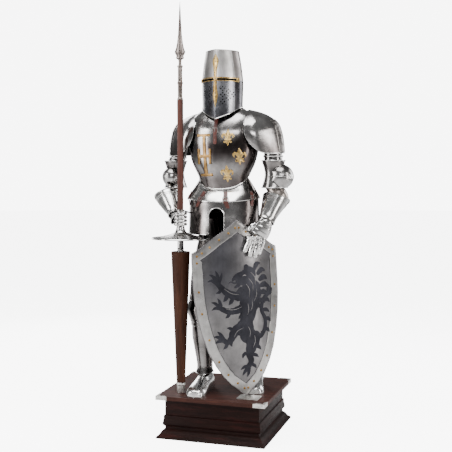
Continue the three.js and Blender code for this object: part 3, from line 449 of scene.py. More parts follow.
def wood(name, values):
    # long grain with pores under a thin lacquer
    material, tree, shader, here = nodeTree(name)
    shader.inputs["Specular IOR Level"].default_value = values["shine"]
    grain = noise(tree, stretched(tree, here, values["grain"]), 1.0, 5, 0.6)
    fine = noise(tree, stretched(tree, here, [6 * g for g in values["grain"]]), 1.0, 2)
    colour = ramp(tree, grain, [(0.3, values["dark"]), (0.55, values["main"]), (0.75, values["light"])])
    pores = ramp(tree, fine, [(0.3, (0.6, 0.6, 0.6)), (0.55, (1, 1, 1))])
    tree.links.new(blendColours(tree, 0.5, colour, pores, "MULTIPLY"), shader.inputs["Base Color"])
    gloss = ramp(tree, fine, [(0.3, (values["rough"] + 0.15,) * 3), (0.6, (values["rough"],) * 3)])
    tree.links.new(gloss, shader.inputs["Roughness"])
    bumpFrom(tree, shader, fine, 0.00015, 0.5)
    return material


mahogany = wood("plinth mahogany", {
    "dark": (0.006, 0.002, 0.0015), "main": (0.012, 0.004, 0.003), "light": (0.03, 0.007, 0.006),
    "grain": (6, 6, 60), "shine": 0.08, "rough": 0.45
})
boardWood = wood("board wood", {
    "dark": (0.02, 0.006, 0.004), "main": (0.04, 0.012, 0.008), "light": (0.065, 0.021, 0.013),
    "grain": (6, 70, 40), "shine": 0.15, "rough": 0.5
})
shaftWood = wood("lance wood", {
    "dark": (0.04, 0.011, 0.007), "main": (0.075, 0.021, 0.013), "light": (0.11, 0.034, 0.021),
    "grain": (50, 50, 4), "shine": 0.3, "rough": 0.5
})
buttWood = wood("lance butt wood", {
    "dark": (0.024, 0.008, 0.004), "main": (0.046, 0.016, 0.008), "light": (0.07, 0.026, 0.013),
    "grain": (50, 50, 4), "shine": 0.12, "rough": 0.5
})


def leatherFinish():
    material, tree, shader, here = nodeTree("strap leather")
    grain = noise(tree, here, 420, 3)
    cloud = noise(tree, here, 40, 4)
    colour = ramp(tree, cloud, [(0.3, (0.035, 0.008, 0.006)), (0.55, (0.08, 0.018, 0.012)),
                                (0.8, (0.14, 0.036, 0.024))])
    tree.links.new(colour, shader.inputs["Base Color"])
    shader.inputs["Roughness"].default_value = 0.42
    bumpFrom(tree, shader, grain, 0.0003, 0.6)
    return material


def darkFinish():
    # the inner sides of the plates: near black, painted shade where little light reaches
    material, tree, shader, here = nodeTree("dark inside")
    tone = ramp(tree, noise(tree, here, 60, 3), [(0.3, (0.004, 0.004, 0.004)), (0.8, (0.012, 0.011, 0.010))])
    tree.links.new(tone, shader.inputs["Base Color"])
    shader.inputs["Roughness"].default_value = 0.8
    return material


leather = leatherFinish()
insideShade = darkFinish()
print("finishes made")

# torso: rows of [height, half width, front depth, back depth]
torso = {
    "rows": [[1270, 118, 90, 86], [1335, 132, 108, 92], [1408, 166, 126, 104], [1485, 184, 134, 114],
             [1563, 188, 130, 116], [1615, 180, 112, 108], [1648, 158, 92, 96], [1672, 128, 70, 82],
             [1688, 104, 56, 74], [1698, 92, 48, 68]],
    "middleY": -35, "squareness": 2.2, "ridge": 0.05,
    "armhole": {"centre": (-29, 1560), "radii": (58, 84), "inside": 292}
}


def torsoPoint(turn, z, out=0):
    w, f, b = (size + out for size in smoothAt(torso["rows"], z))
    s, c = math.sin(turn), math.cos(turn)
    across = power(s, 2 / torso["squareness"]) * w
    depth = power(c, 2 / torso["squareness"])
    ridge = 1 - torso["ridge"] * min(abs(s) * 3, 1) if c > 0 else 1
    return Vector((across, torso["middleY"] - depth * (f * ridge if c > 0 else b), z))


def chestPoint(x, z, out):
    # a point over the breastplate, given across and up
    w = smoothAt(torso["rows"], z)[0]

    def under(a, b):
        s = min(abs(a) / w, 0.999) ** (torso["squareness"] / 2)
        return torsoPoint(math.copysign(math.asin(s), a), b)

    p = under(x, z)
    side = under(x + 1, z) - under(x - 1, z)
    rise = under(x, z + 3) - under(x, z - 3)
    normal = side.cross(rise).normalized()
    return p + normal * (out if normal.y < 0 else -out)


def breastFloor(turn):
    return 1272 + 66 * (1 - math.cos(turn)) ** 1.2


def chestPaintedShade(p):
    # painted reflection and shade: bright shoulders, a dark belt across the chest, dark sides and a darker
    # lower part
    belt = hump(p.z - 1475, 70) * ease((p.x + 170) / 120)
    sides = ease((abs(p.x + 10) - 95) / 75)
    low = ease((1400 - p.z) / 90)
    return (0.15 + 0.9 * belt + 0.7 * sides + 0.7 * low) * (1 - 0.9 * ease((p.z - 1550) / 70))


def makeCuirass():
    top = torso["rows"][-1][0]
    quarter = math.pi / 2 - 0.004
    plates = (("breastplate", -quarter, quarter, breastFloor, 96),
              ("backplate", math.pi - quarter, math.pi + quarter, lambda turn: 1336, 72))
    for name, start, end, floor, across in plates:
        def place(u, v):
            turn = mix(start, end, u)
            return torsoPoint(turn, mix(floor(turn), top, v))

        middle = Vector((0, torso["middleY"], 1500))
        piece = plate(name, place, across, 64, middle, steel, chestPaintedShade, closed=False)
        armhole = torso["armhole"]
        turn = (Matrix.Translation((0, *armhole["centre"])) @ Matrix.Diagonal((1, *armhole["radii"], 1))
                @ Matrix.Rotation(math.pi / 2, 4, "Y"))
        hole = bmesh.new()
        bmesh.ops.create_cone(hole, cap_ends=True, segments=48, radius1=1, radius2=1, depth=800, matrix=turn)
        cutter = cutterFrom(hole)
        keep = bmesh.new()  # between the armholes nothing is cut
        between = Matrix.Diagonal((armhole["inside"], 600, 400, 1))
        bmesh.ops.create_cube(keep, size=1, matrix=Matrix.Translation((0, 0, 1560)) @ between)
        cutWith(cutter, cutterFrom(keep))
        cutWith(piece, cutter)
    bm = bmesh.new()
    edge = [torsoPoint(mix(-quarter, quarter, k / 40), breastFloor(mix(-quarter, quarter, k / 40)) + 2, 0.6)
            for k in range(41)]
    tubeAlong(bm, edge, 2.1, sides=8, steps=120)
    trim("breastplate_edge", bm)


# helm: half of its plan from front to back, and its sizes by height
helm = {
    "plan": [[0, 1], [0.19, 0.915], [0.44, 0.76], [0.66, 0.57], [0.85, 0.33], [0.97, 0.08], [1, -0.14],
             [0.93, -0.48], [0.74, -0.76], [0.42, -0.95], [0, -1]],
    "rows": [[1600, 102, 105, 98], [1690, 104, 107, 100], [1760, 106, 109, 102], [1830, 107, 110, 103],
             [1905, 98, 106, 96], [1972, 86, 98, 86]],
    "middleY": -73, "sight": 1824, "top": 1972, "seam": 0.345
}
breaths = {
    "spots": [[34, 1778], [34, 1747], [34, 1713], [59, 1765], [59, 1731], [79, 1750]],
    "pitch": 9.5, "radius": 3.9
}


def helmShare(t):
    share = curvePoint([(x, y, 0) for x, y in helm["plan"]], t)
    return share.x, share.y


def helmPoint(u, z, out=0):
    # u runs right round from the front keel
    side = 1 if u <= 0.5 else -1
    t = fold(u)
    x, y = helmShare(t)
    w, f, b = (size + out for size in straightAt(helm["rows"], z))
    return Vector((side * x * w, helm["middleY"] - y * (f if y > 0 else b), z))


def helmFront(x, z, out):
    w, f, b = straightAt(helm["rows"], z)
    low, high = 0.0, 0.6
    for _ in range(18):
        t = (low + high) / 2
        if helmShare(t)[0] * w < abs(x):
            low = t
        else:
            high = t
    y = helmShare(low)[1]
    return Vector((x * (1 + out / w), helm["middleY"] - y * (f if y > 0 else b) - out * 1.1, z))


def helmFloor(u):
    y = helmShare(fold(u))[1]
    return 1688 - 62 * max(0, y) ** 1.3 + 16 * max(0, -y) ** 0.7


def helmCutter():
    bm = bmesh.new()
    for side in (1, -1):
        bmesh.ops.create_cube(bm, size=1, matrix=Matrix.Translation((side * 50.5, -168, helm["sight"]))
                              @ Matrix.Diagonal((83, 184, 9, 1)))
        for x, z in breaths["spots"]:
            base = helmFront(side * x, z, 0)
            across = (helmFront(side * x + 1, z, 0) - helmFront(side * x - 1, z, 0)).normalized()
            outward = Vector((across.y, -across.x, 0))
            turn = outward.to_track_quat("Z", "Y").to_matrix().to_4x4()
            for a, b in ((0, 1), (1, 0), (0, -1), (-1, 0)):
                at = base + across * a * breaths["pitch"] + Vector((0, 0, b * breaths["pitch"]))
                bmesh.ops.create_cone(bm, cap_ends=True, segments=10, radius1=breaths["radius"],
                                      radius2=breaths["radius"], depth=24,
                                      matrix=Matrix.Translation(at) @ turn)
    return cutterFrom(bm)


def helmPaintedShade(p):
    # painted reflection and shade: the facet right of the keel stays bright, the other one and the side
    # plates are darker, and so are the back and the lowest part
    share = p.x / 100
    if p.y > helm["middleY"] - 45:
        return 0.75
    return 0.2 * ease((-share) / 0.12) * ease((share + 0.75) / 0.15) + 0.25 * ease((1700 - p.z) / 60)


def makeHelm():
    sight, top = helm["sight"], helm["top"]
    middle = Vector((0, helm["middleY"], 1800))
    lower = plate("helm_lower", lambda u, v: helmPoint(u, mix(helmFloor(u), sight - 2, v)), 160, 24, middle,
                  blueSteel, helmPaintedShade)
    cutWith(lower, helmCutter())

    def upper(u, v):
        t = fold(u)
        lap = 1.3 * ease((helm["seam"] - t) / 0.006 + 0.5)
        return helmPoint(u, mix(sight - 1.6, top, v), lap)

    cutWith(plate("helm_upper", upper, 240, 16, middle, helmSteel, helmPaintedShade), helmCutter())
    bm = bmesh.new()
    dome = [[1.012, 0.2], [1.02, 1.2], [1.01, 2.2], [0.97, 2.6], [0.8, 3.2], [0.5, 4.0], [0.2, 4.6],
            [0.02, 4.8]]

    def crown(u, v):
        scale, rise = straightAt([[k, *row] for k, row in enumerate(dome)], v * (len(dome) - 1))
        p = helmPoint(u, top)
        return Vector((p.x * scale, helm["middleY"] + (p.y - helm["middleY"]) * scale, top + rise))

    faces = sheet(bm, crown, 120, 14, True)
    bmesh.ops.recalc_face_normals(bm, faces=faces)
    closeEnds(bm, bm.faces[:])
    finish("helm_crown", bm, steel, ("helm_top",), "plate_steel")
    # the rolled lower edge, the rivets of the side seams and the seams themselves
    bm = bmesh.new()
    hoop(bm, lambda u: helmPoint(u, helmFloor(u) + 1, 0.8), 2.6, 80)
    trim("helm_edge", bm)
    bm = bmesh.new()
    for side in (0.365, 0.635):
        for k in range(10):
            z = 1712 + k * 27.5
            p = helmPoint(side, z)
            rivet(bm, p, p - Vector((0, helm["middleY"], z)), 3.6, 2.6)
    for side in (0.345, 0.655):
        tubeAlong(bm, [helmPoint(side, z, 0.4) for z in (1700, 1760, 1820, 1880, 1930, 1970)], 0.9,
                  sides=6, steps=24)
    finish("helm_rivets", bm, darkSteel, slot="plate_steel")


keel = {
    "widths": [[1686, 0.8], [1696, 3.5], [1715, 8], [1740, 12], [1752, 12.5], [1775, 10], [1800, 8.2],
               [1824, 7.5],
               [1848, 8], [1880, 10], [1905, 14.5], [1918, 15], [1935, 9], [1950, 0.8]],
    "out": 2.8, "wall": 2.0, "rivets": [1936, 1910, 1884, 1752, 1700]
}


def makeHelmCross():
    bm = bmesh.new()

    def strip(u, v):
        z = mix(keel["widths"][0][0], keel["widths"][-1][0], v)
        half = smoothAt(keel["widths"], z)[0]
        return helmFront((2 * u - 1) * half, z, keel["out"] - 0.5 * abs(2 * u - 1) ** 4)

    thicken(bm, sheet(bm, strip, 12, 90), keel["wall"], 0, Vector((0, 0, 1820)))
    sight = helm["sight"]
    for low, high in ((sight + 5, sight + 11.5), (sight - 8.5, sight - 5)):
        thicken(bm, sheet(bm, lambda u, v: helmFront(mix(-100, 100, u), mix(low, high, v), 2.4), 80, 3),
                2.0, 0,
                Vector((0, 0, 1820)))
    for side in (1, -1):
        at = helmPoint(0.21 if side > 0 else 0.79, sight, 3.2)
        along = (helmPoint(0.22 if side > 0 else 0.78,
                           sight) - helmPoint(0.2 if side > 0 else 0.8, sight)).normalized()
        ring = [at + along * 7.5 * math.cos(k * fullTurn / 16)
                + Vector((0, 0, 7.5 * math.sin(k * fullTurn / 16)))
                for k in range(16)]
        tubeAlong(bm, ring, 3.0, True, 8, 32)
    finish("helm_cross_fine", bm, brass, ("helm_cross",), "brass_trim")
    bm = bmesh.new()
    for z in keel["rivets"]:
        rivet(bm, helmFront(0, z, keel["out"]), (0, -1, 0.1), 2.4, 1.5)
    for x in (-80, -60, -36, 36, 60, 80):
        for z in (sight + 9, sight - 9):
            p = helmFront(x, z, 2.6)
            rivet(bm, p, Vector((x * 0.01, -1, 0)), 2.0, 1.4)
    finish("helm_cross_rivets", bm, darkSteel, slot="plate_steel")


def chestBar(bm, x0, z0, x1, z1, wide, out=3.2, wall=2.2):
    # a flat brass bar with soft edges, following the breastplate
    length = math.hypot(x1 - x0, z1 - z0)
    nx, nz = -(z1 - z0) / length, (x1 - x0) / length

    def place(u, v):
        k = 2 * v - 1
        x = mix(x0, x1, u) + nx * k * wide / 2
        z = mix(z0, z1, u) + nz * k * wide / 2
        return chestPoint(x, z, out - 0.7 * abs(k) ** 6)

    thicken(bm, sheet(bm, place, max(8, int(length / 5)), 8), wall, 0, Vector((0, 0, 1450)))


def makeChestOrnaments():
    bm = bmesh.new()
    bars = [(-68, 1552, -62, 1339, 17), (-105, 1440, -29, 1440, 16), (-106, 1546, -34, 1546, 13),
            (-97, 1345, -26, 1345, 13),
            (-99, 1478, -102, 1400, 13), (-33, 1477, -36, 1401, 13)]
    for k, bar in enumerate(bars):
        chestBar(bm, *bar, out=3.0 + 0.12 * k)
    finish("cross_potent_fine", bm, dullBrass, ("cross_potent",), "brass_trim")
    # lily: each leaf as rows of [across, up, half width]
    leaves = [
        [[0, -12, 4.5], [0, -4, 6], [0, 8, 9], [0, 18, 10.5], [0, 30, 7], [0, 40, 2.5], [0, 45, 0.5]],
        [[4, -12, 3], [6, -2, 4.5], [10, 8, 5.5], [17, 16, 6], [24, 14, 5.5], [27, 6, 4], [24, -2, 2],
         [21, -4, 0.5]],
        [[0, -12, 5], [0, -22, 6], [0, -32, 4.5], [0, -42, 0.5]],
        [[3, -12, 2.5], [8, -18, 3.5], [13, -24, 3.8], [18, -23, 2.4], [19, -18, 0.5]],
        [[-17, -11, 3.6], [-6, -11, 4.2], [6, -11, 4.2], [17, -11, 3.6]]
    ]
    for index, (cx, cz) in enumerate([(59, 1533), (113, 1438), (49, 1350)]):
        bm = bmesh.new()
        for k, leaf in enumerate(leaves):
            for side in ((1, -1) if k in (1, 3) else (1,)):
                lift = 2.9 + 0.15 * k + (0.6 if k == 4 else 0)
                stroke(bm, leaf, lambda x, z, out: chestPoint(cx + side * x, cz + z, lift + out), 1.3, 10,
                       24)
        turnOut(bm)
        finish(f"fleur_{index + 1}_fine", bm, brass, (f"fleur_{index + 1}",), "brass_trim", 50)


def buckle(bm, centre, across, along, outward, wide, high):
    # a metal loop with its prong
    corners = [(-1, -0.8), (-0.8, -1), (0.8, -1), (1, -0.8), (1, 0.8), (0.8, 1), (-0.8, 1), (-1, 0.8)]
    loop = [centre + across * a * wide / 2 + along * b * high / 2 + outward * 1.5 for a, b in corners]
    tubeAlong(bm, loop, 1.7, True, 6, 32)
    prong = [centre - along * high / 2 + outward * 2.2, centre + outward * 3.2,
             centre + along * high / 2 + outward * 2.6]
    tubeAlong(bm, prong, 1.1, False, 6, 8)


chestStrap = {"sides": (-14.5, 3.5), "ends": (1650, 1499), "buckle": 1568, "rivets": (1620, 1542, 1520)}


def makeChestStrap():
    left, right = chestStrap["sides"]
    top, bottom = chestStrap["ends"]
    bm = bmesh.new()

    def place(u, v):
        return chestPoint(mix(left, right, u), mix(top, bottom + 6 * abs(2 * u - 1) ** 2, v), 3.4)

    thicken(bm, sheet(bm, place, 6, 48), 2.8, 0, Vector((-5, 0, 1560)))
    finish("chest_strap_fine", bm, leather, ("chest_strap",), "strap_leather")
    bm = bmesh.new()
    middle = (left + right) / 2
    at = chestPoint(middle, chestStrap["buckle"], 4)
    buckle(bm, at, Vector((1, 0, 0)), Vector((0, -0.3, 1)).normalized(), Vector((0, -1, 0.2)), 27, 24)
    for z in chestStrap["rivets"]:
        rivet(bm, chestPoint(middle, z, 3.6), (0, -1, 0.1), 1.6, 0.9)
    finish("chest_strap_buckle", bm, darkSteel, slot="dark_iron")


# fauld and skirt: rows of [height, half width, front depth, back depth]
belt = {
    "drop": 17, "flare": [[1226, 191, 133, 141], [1254, 180, 104, 131]],
    "skirt": [[1040, 190, 136, 140], [1224, 184, 123, 133], [1237, 183.6, 117, 132.5]],
    "archHalf": 39, "archTop": 1177
}


def beltPoint(row, turn, drop, out=0):
    z, w, f, b = row
    c = math.cos(turn)
    return Vector((math.sin(turn) * (w + out), torso["middleY"] - c * ((f if c > 0 else b) + out),
                   z - drop * max(0, c) ** 1.5))


def fauldPoint(turn, v, out=0):
    # from the waist, tucked under the cuirass, down to the flared rim
    inset = plateWall + 1
    floor = breastFloor(turn) if math.cos(turn) > -1e-6 else 1336
    stops = [torsoPoint(turn, floor + 10, out - inset), torsoPoint(turn, floor - 3, out - inset),
             beltPoint(belt["flare"][1], turn, 0, out), beltPoint(belt["flare"][0], turn, belt["drop"], out)]
    if v < 0.15:
        return mix(stops[0], stops[1], v / 0.15)
    t = (v - 0.15) / 0.85
    a, b, c = stops[1:]
    bend = b + (b - (a + c) / 2) * 0.6
    return a * (1 - t) ** 2 + bend * 2 * t * (1 - t) + c * t * t


def skirtPoint(turn, z, out=0):
    w, f, b = straightAt(belt["skirt"], z)
    drop = belt["drop"] * ease((z - 1040) / 184)
    return beltPoint([z, w, f, b], turn, drop, out)


def makeBelt():
    middle = Vector((0, torso["middleY"], 1150))
    # painted shade: the fauld darkens towards its ends at either side
    plate("fauld", lambda u, v: fauldPoint(u * fullTurn, v), 128, 20, middle, highlightSteel,
          lambda p: 0.85 * ease((abs(p.x + 5) - 95) / 60))
    bm = bmesh.new()
    hoop(bm, lambda u: fauldPoint(u * fullTurn, 1, -0.5), 2.2, 64)
    trim("fauld_rim", bm)
    # painted shade: the skirt darker overall and darker still towards both sides
    skirt = plate("skirt", lambda u, v: skirtPoint(u * fullTurn, mix(1040, 1237, v)), 128, 32, middle, steel,
                  lambda p: 0.25 + 0.65 * ease((-p.x - 40) / 50) + 0.65 * ease((p.x - 95) / 50))
    half, top = belt["archHalf"], belt["archTop"]
    outline = [(-half, 900), (half, 900)]
    outline += [(half * math.cos(k * math.pi / 24), top - half + half * math.sin(k * math.pi / 24))
                for k in range(25)]
    bm = bmesh.new()
    base = bm.faces.new([bm.verts.new((x, -400, z)) for x, z in outline])
    grown = bmesh.ops.extrude_face_region(bm, geom=[base])
    bmesh.ops.translate(bm, vec=(0, 330, 0),
                        verts=[g for g in grown["geom"] if isinstance(g, bmesh.types.BMVert)])
    cutWith(skirt, cutterFrom(bm))

    def onSkirt(x, z):
        turn = math.asin(x / 184)
        near = skirtPoint(turn, z, 0.5)
        return Vector((near.x, near.y, z))

    edge = [onSkirt(half + 1, 1042 + 6 * k) for k in range(16)]
    edge += [onSkirt((half + 1) * math.cos(k * math.pi / 16),
                     top - half + (half + 1) * math.sin(k * math.pi / 16))
             for k in range(17)]
    edge += [onSkirt(-half - 1, 1132 - 6 * k) for k in range(16)]
    bm = bmesh.new()
    tubeAlong(bm, edge, 2.4, sides=8, steps=120)
    hem = [skirtPoint(k / 64 * fullTurn, 1041, 0.3) for k in range(3, 62)]
    tubeAlong(bm, hem, 2.4, sides=8, steps=160)
    trim("skirt_rim", bm)
    # straps over the flared rim, each with its buckle: [turn from the front, lean]
    for index, (turn, lean) in enumerate([(-66, 0), (-31, 8), (15, -3), (63, 0)]):
        high = [belt["flare"][1][0] + 6, belt["flare"][1][1] - 1, belt["flare"][1][2] - 3, 130]
        stops = [(high, 0, 3.6, 1), (belt["flare"][1], 0, 3.6, 0.7),
                 (belt["flare"][0], belt["drop"], 3.8, 0.1),
                 ([1216, 186, 126, 134], belt["drop"], 4.2, -0.2),
                 ([1192, 185, 124.5, 134], belt["drop"], 3.4, -1)]

        def strapPoint(s, v, lift=0.0):
            half = 3.4 * (1 - 0.25 * ease((v - 0.9) / 0.1))
            line = [beltPoint(row, math.radians(turn + s * half + lean * shift), drop, out + lift)
                    for row, drop, out, shift in stops]
            return curvePoint(line, v)

        bm = bmesh.new()
        thicken(bm, sheet(bm, lambda u, v: strapPoint(2 * u - 1, v), 6, 28), 2.4, 0, middle)
        finish(f"skirt_strap_{index + 1}_fine", bm, leather, (f"skirt_strap_{index + 1}",), "strap_leather")
        bm = bmesh.new()
        at = strapPoint(0, 0.42, 1.0)
        along = (strapPoint(0, 0.36) - strapPoint(0, 0.48)).normalized()
        outward = (strapPoint(0, 0.42, 4) - strapPoint(0, 0.42)).normalized()
        buckle(bm, at, along.cross(outward).normalized(), along, outward, 28, 20)
        rivet(bm, strapPoint(0, 0.08, 0.2), outward, 2.6, 1.6)
        finish(f"skirt_strap_{index + 1}_buckle", bm, darkSteel, slot="dark_iron")


# shoulders: rows of points from the neck edge down to the lower rim, front to back
shoulder = {
    "points": [
        [[118, -62, 1656], [124, -38, 1674], [130, -8, 1682], [130, 22, 1680], [122, 44, 1670]],
        [[131, -96, 1640], [166, -68, 1658], [184, -8, 1669], [174, 42, 1662], [138, 74, 1648]],
        [[135, -126, 1606], [192, -104, 1620], [238, -10, 1646], [198, 82, 1626], [142, 106, 1610]],
        [[138, -138, 1578], [206, -120, 1576], [282, -12, 1610], [212, 102, 1582], [144, 118, 1578]],
        [[140, -140, 1556], [212, -126, 1536], [302, -12, 1562], [220, 110, 1540], [146, 122, 1556]],
        [[150, -138, 1530], [216, -120, 1492], [312, -12, 1508], [224, 104, 1498], [156, 120, 1534]],
        [[166, -132, 1503], [226, -108, 1458], [317, -12, 1458], [230, 94, 1462], [170, 110, 1506]]
    ],
    "rightShift": (6, -9)
}


def shoulderPoint(side, u, v, out=0):
    def raw(a, b):
        line = [curvePoint([row[k] for row in shoulder["points"]], b) for k in range(5)]
        p = curvePoint(line, a)
        across, lower = shoulder["rightShift"] if side < 0 else (0, 0)
        return Vector((side * p.x + across, p.y, p.z + lower))

    p = raw(u, v)
    if not out:
        return p
    step = 0.01
    a = raw(min(1, u + step), v) - raw(max(0, u - step), v)
    b = raw(u, min(1, v + step)) - raw(u, max(0, v - step))
    normal = a.cross(b).normalized()
    if normal.dot(p - Vector((side * 150, -10, 1500))) < 0:
        normal.negate()
    return p + normal * out


def makeShoulders():
    for side, name in ((1, "left"), (-1, "right")):
        middle = Vector((side * 150, -10, 1500))
        # painted shade: darker low down and towards the outside
        plate(f"pauldron_{name}", lambda u, v: shoulderPoint(side, u, v), 56, 48, middle, steel,
              lambda p: 0.15 + 0.4 * ease((1560 - p.z) / 90) + 0.3 * ease((abs(p.x) - 200) / 80),
              closed=False)
        rim = [shoulderPoint(side, 0, k / 24) for k in range(25)]
        rim += [shoulderPoint(side, k / 30, 1) for k in range(1, 31)]
        rim += [shoulderPoint(side, 1, 1 - k / 24) for k in range(1, 25)]
        bm = bmesh.new()
        tubeAlong(bm, rim, 2.3, sides=8, steps=200)
        trim(f"pauldron_{name}_rim", bm)
        # embossed band down the outer side
        bm = bmesh.new()

        def band(u, v):
            s = 2 * u - 1
            edge = 1.1 * hump(abs(s) - 0.88, 0.1)
            leaf = 1.3 * max(0, math.sin(v * 26 + 2.4 * s * math.sin(v * 26))) * (1 - abs(s) ** 4)
            across = 0.47 + 0.052 * s
            return shoulderPoint(side, across, mix(0.42, 0.975, v), 1.4 + edge + leaf)

        thicken(bm, sheet(bm, band, 20, 110), 1.6, 0, middle)
        finish(f"pauldron_{name}_band", bm, darkSteel, slot="plate_steel", sharp=60)


# arms and legs: rows of [height, x, y, half width, half depth]
limbs = {
    "upper_arm_left": [[1382, 258, -10, 45.8, 43.8], [1450, 256, -10, 47, 45], [1540, 246, -10, 42, 42],
                       [1617, 227, -8, 36, 36]],
    "upper_arm_right": [[1382, -281, 2, 45.6, 43.6], [1422, -275, 0, 45, 43], [1444, -262, -5, 41.2, 39],
                        [1530, -236, -10, 38, 38], [1606, -219, -10, 33.6, 34.6]],
    "vambrace_left": [[1190, 275, -38.5, 42, 41], [1228, 288, -14, 51, 49], [1274, 268, -8, 44, 43],
                      [1300, 258, -10, 46.4, 44.4], [1316, 258, -10, 46.4, 44.4]],
    "vambrace_right": [[1198, -284, -84, 36, 34], [1236, -297, -38, 39, 38], [1272, -283, -1, 42, 41],
                       [1300, -281, 2, 46, 44], [1316, -281, 2, 46, 44]],
    "cuisse_right": [[694, -98, -87.6, 67.5, 70], [716, -98, -86.6, 67.5, 70], [810, -97, -56, 73, 76],
                     [950, -88, 2, 74, 74], [1030, -84, 5, 69, 61], [1126, -97, -16, 76, 62]],
    "cuisse_left": [[694, 118, -2.6, 67.5, 70], [716, 118, -2, 67.5, 70], [810, 112, -6, 73, 76],
                    [950, 100, -10, 76, 78], [1030, 95, -10, 74, 74], [1126, 98, -14, 77, 68]],
    "poleyn_right": [[570, -99, -91, 60, 60], [586, -99, -91, 61.5, 62], [612, -99, -96, 66, 70],
                     [642, -99, -98, 71, 76],
                     [684, -98, -87, 72, 75], [718, -98, -85, 72.5, 75.5]],
    "poleyn_left": [[570, 126, 1, 60, 60], [586, 126, 1, 61.5, 62], [612, 124, -3, 66, 70],
                    [642, 122, -5, 71, 76],
                    [684, 119, -1, 72, 75], [718, 118, 0, 72.5, 75.5]],
    "greave_right": [[313.6, -92, -80, 46, 51], [345, -92, -79, 39, 44], [450, -97, -72, 53, 58],
                     [510, -100, -72, 60, 64],
                     [538, -100, -84, 57, 59], [562, -99, -92.7, 55.6, 55.6], [588, -99, -92.7, 55.6, 55.6]],
    "greave_left": [[321.2, 144, 69, 46, 51], [345, 144, 66, 39, 44], [450, 137, 44, 53, 58],
                    [510, 132, 28, 60, 64],
                    [538, 129, 8, 57, 59], [562, 126, -0.4, 55.5, 55.5], [588, 126, -0.4, 55.5, 55.5]]
}


def limbPoint(rows, angle, z, out=0, level=False):
    x, y, a, b = smoothAt(rows, z)
    high, low = min(z + 45, rows[-1][0]), max(z - 45, rows[0][0])
    above, below, rise = smoothAt(rows, high), smoothAt(rows, low), high - low
    lean = Vector((above[0] - below[0], above[1] - below[1], rise))
    along = Vector((0, 0, 1)) if level else lean.normalized()
    e1 = (Vector((1, 0, 0)) - along * along.x).normalized()
    e2 = along.cross(e1)
    return Vector((x, y, z)) + e1 * math.cos(angle) * (a + out) + e2 * math.sin(angle) * (b + out)


def limbMiddle(rows):
    z = (rows[0][0] + rows[-1][0]) / 2
    x, y, _, _ = smoothAt(rows, z)
    return Vector((x, y, z))


couters = {
    "heights": [[1279, 60, 57], [1289, 58, 55], [1318, 49, 47], [1351, 44, 43], [1382, 49, 47],
                [1410, 58, 55],
                [1420, 60, 57]],
    "centres": {"left": (258, -10), "right": (-281, 2)},
    # turn in degrees, distance from the axis, radius and the swell round it
    "domes": {"left": (8, 43, 62, 20), "right": (76, 38, 50, 10)},
    "flutes": {"left": 0, "right": 1.5}, "waist": 1336
}


def couterPoint(name, angle, z, out=0):
    side = 1 if name == "left" else -1
    cx, cy = couters["centres"][name]
    a, b = smoothAt(couters["heights"], z)
    turn, distance, radius, swell = couters["domes"][name]
    centre = math.radians(turn) if side > 0 else math.pi + math.radians(turn)
    delta = math.atan2(math.sin(angle - centre), math.cos(angle - centre))
    flute = couters["flutes"][name] * abs(math.sin(angle * 11))
    flute *= ease((z - 1345) / 12) * ease((1408 - z) / 8)
    reach = a * b / math.hypot(b * math.cos(angle), a * math.sin(angle)) - flute
    reach += swell * hump(delta, 0.9) * hump(z - couters["waist"], 42)
    inside = radius * radius - (z - couters["waist"]) ** 2 - (distance * math.sin(delta)) ** 2
    if inside > 0 and math.cos(delta) > 0:
        dome = distance * math.cos(delta) + math.sqrt(inside)
        reach = (reach**8 + dome**8) ** 0.125
    reach += out
    return Vector((cx + math.cos(angle) * reach, cy + math.sin(angle) * reach, z))


def makeArms():
    for side, name in ((1, "left"), (-1, "right")):
        rows = limbs[f"upper_arm_{name}"]
        low, high = rows[0][0], rows[-1][0]
        # painted shade: the whole upper arm darkened evenly
        plate(f"upper_arm_{name}", lambda u, v: limbPoint(rows, u * fullTurn, mix(low, high, v), 0, True),
              56, 36, limbMiddle(rows), steel, lambda p: 0.55)
        bm = bmesh.new()
        ringHeight = 1441 if name == "left" else 1436
        hoop(bm, lambda u: limbPoint(rows, u * fullTurn, ringHeight, 1.5, True), 4.2, 36)
        hoop(bm, lambda u: limbPoint(rows, u * fullTurn, ringHeight - 9, 0.6, True), 2.0, 36, 6)
        trim(f"upper_arm_{name}_ring", bm)
        low, high = couters["heights"][0][0], couters["heights"][-1][0]
        across = 220 if name == "right" else 96
        # painted shade: the couter's upper half darker than its lower half
        plate(f"couter_{name}", lambda u, v: couterPoint(name, u * fullTurn, mix(low, high, v)), across, 44,
              Vector((*couters["centres"][name], 1350)), steel,
              lambda p: 0.1 + 0.6 * ease((p.z - 1350) / 30))
        bm = bmesh.new()
        for z, out, radius, sides in ((low + 1, 0.6, 2.4, 8), (high - 1, 0.6, 2.4, 8), (1338, 0.2, 1.2, 6)):
            hoop(bm, lambda u: couterPoint(name, u * fullTurn, z, out), radius, sides=sides)
        trim(f"couter_{name}_rims", bm)
        bm = bmesh.new()
        turn, distance, radius, _ = couters["domes"][name]
        angle = math.radians(turn - 40) if side > 0 else math.pi + math.radians(turn)
        centre = math.radians(turn) if side > 0 else angle
        middle = Vector((*couters["centres"][name], couters["waist"]))
        middle += Vector((math.cos(centre), math.sin(centre), 0)) * distance
        outward = Vector((math.cos(angle), math.sin(angle), 0))
        at = middle + outward * (radius + 1)
        # a rosette of petals about a boss
        level = Vector((-outward.y, outward.x, 0))
        for k in range(8):
            a = k / 8 * fullTurn
            spot = level * math.cos(a) * 8 + Vector((0, 0, math.sin(a) * 8))
            rivet(bm, at + spot - outward * 0.8, outward, 4.2, 2.2, 12)
        rivet(bm, at, outward, 5.5, 4.5, 16)
        trim(f"couter_{name}_boss", bm)
        rows = limbs[f"vambrace_{name}"]
        plate(f"vambrace_{name}", lambda u,
              v: limbPoint(rows, u * fullTurn, mix(rows[0][0], rows[-1][0], v)),
              56, 30, limbMiddle(rows), warmSteel)


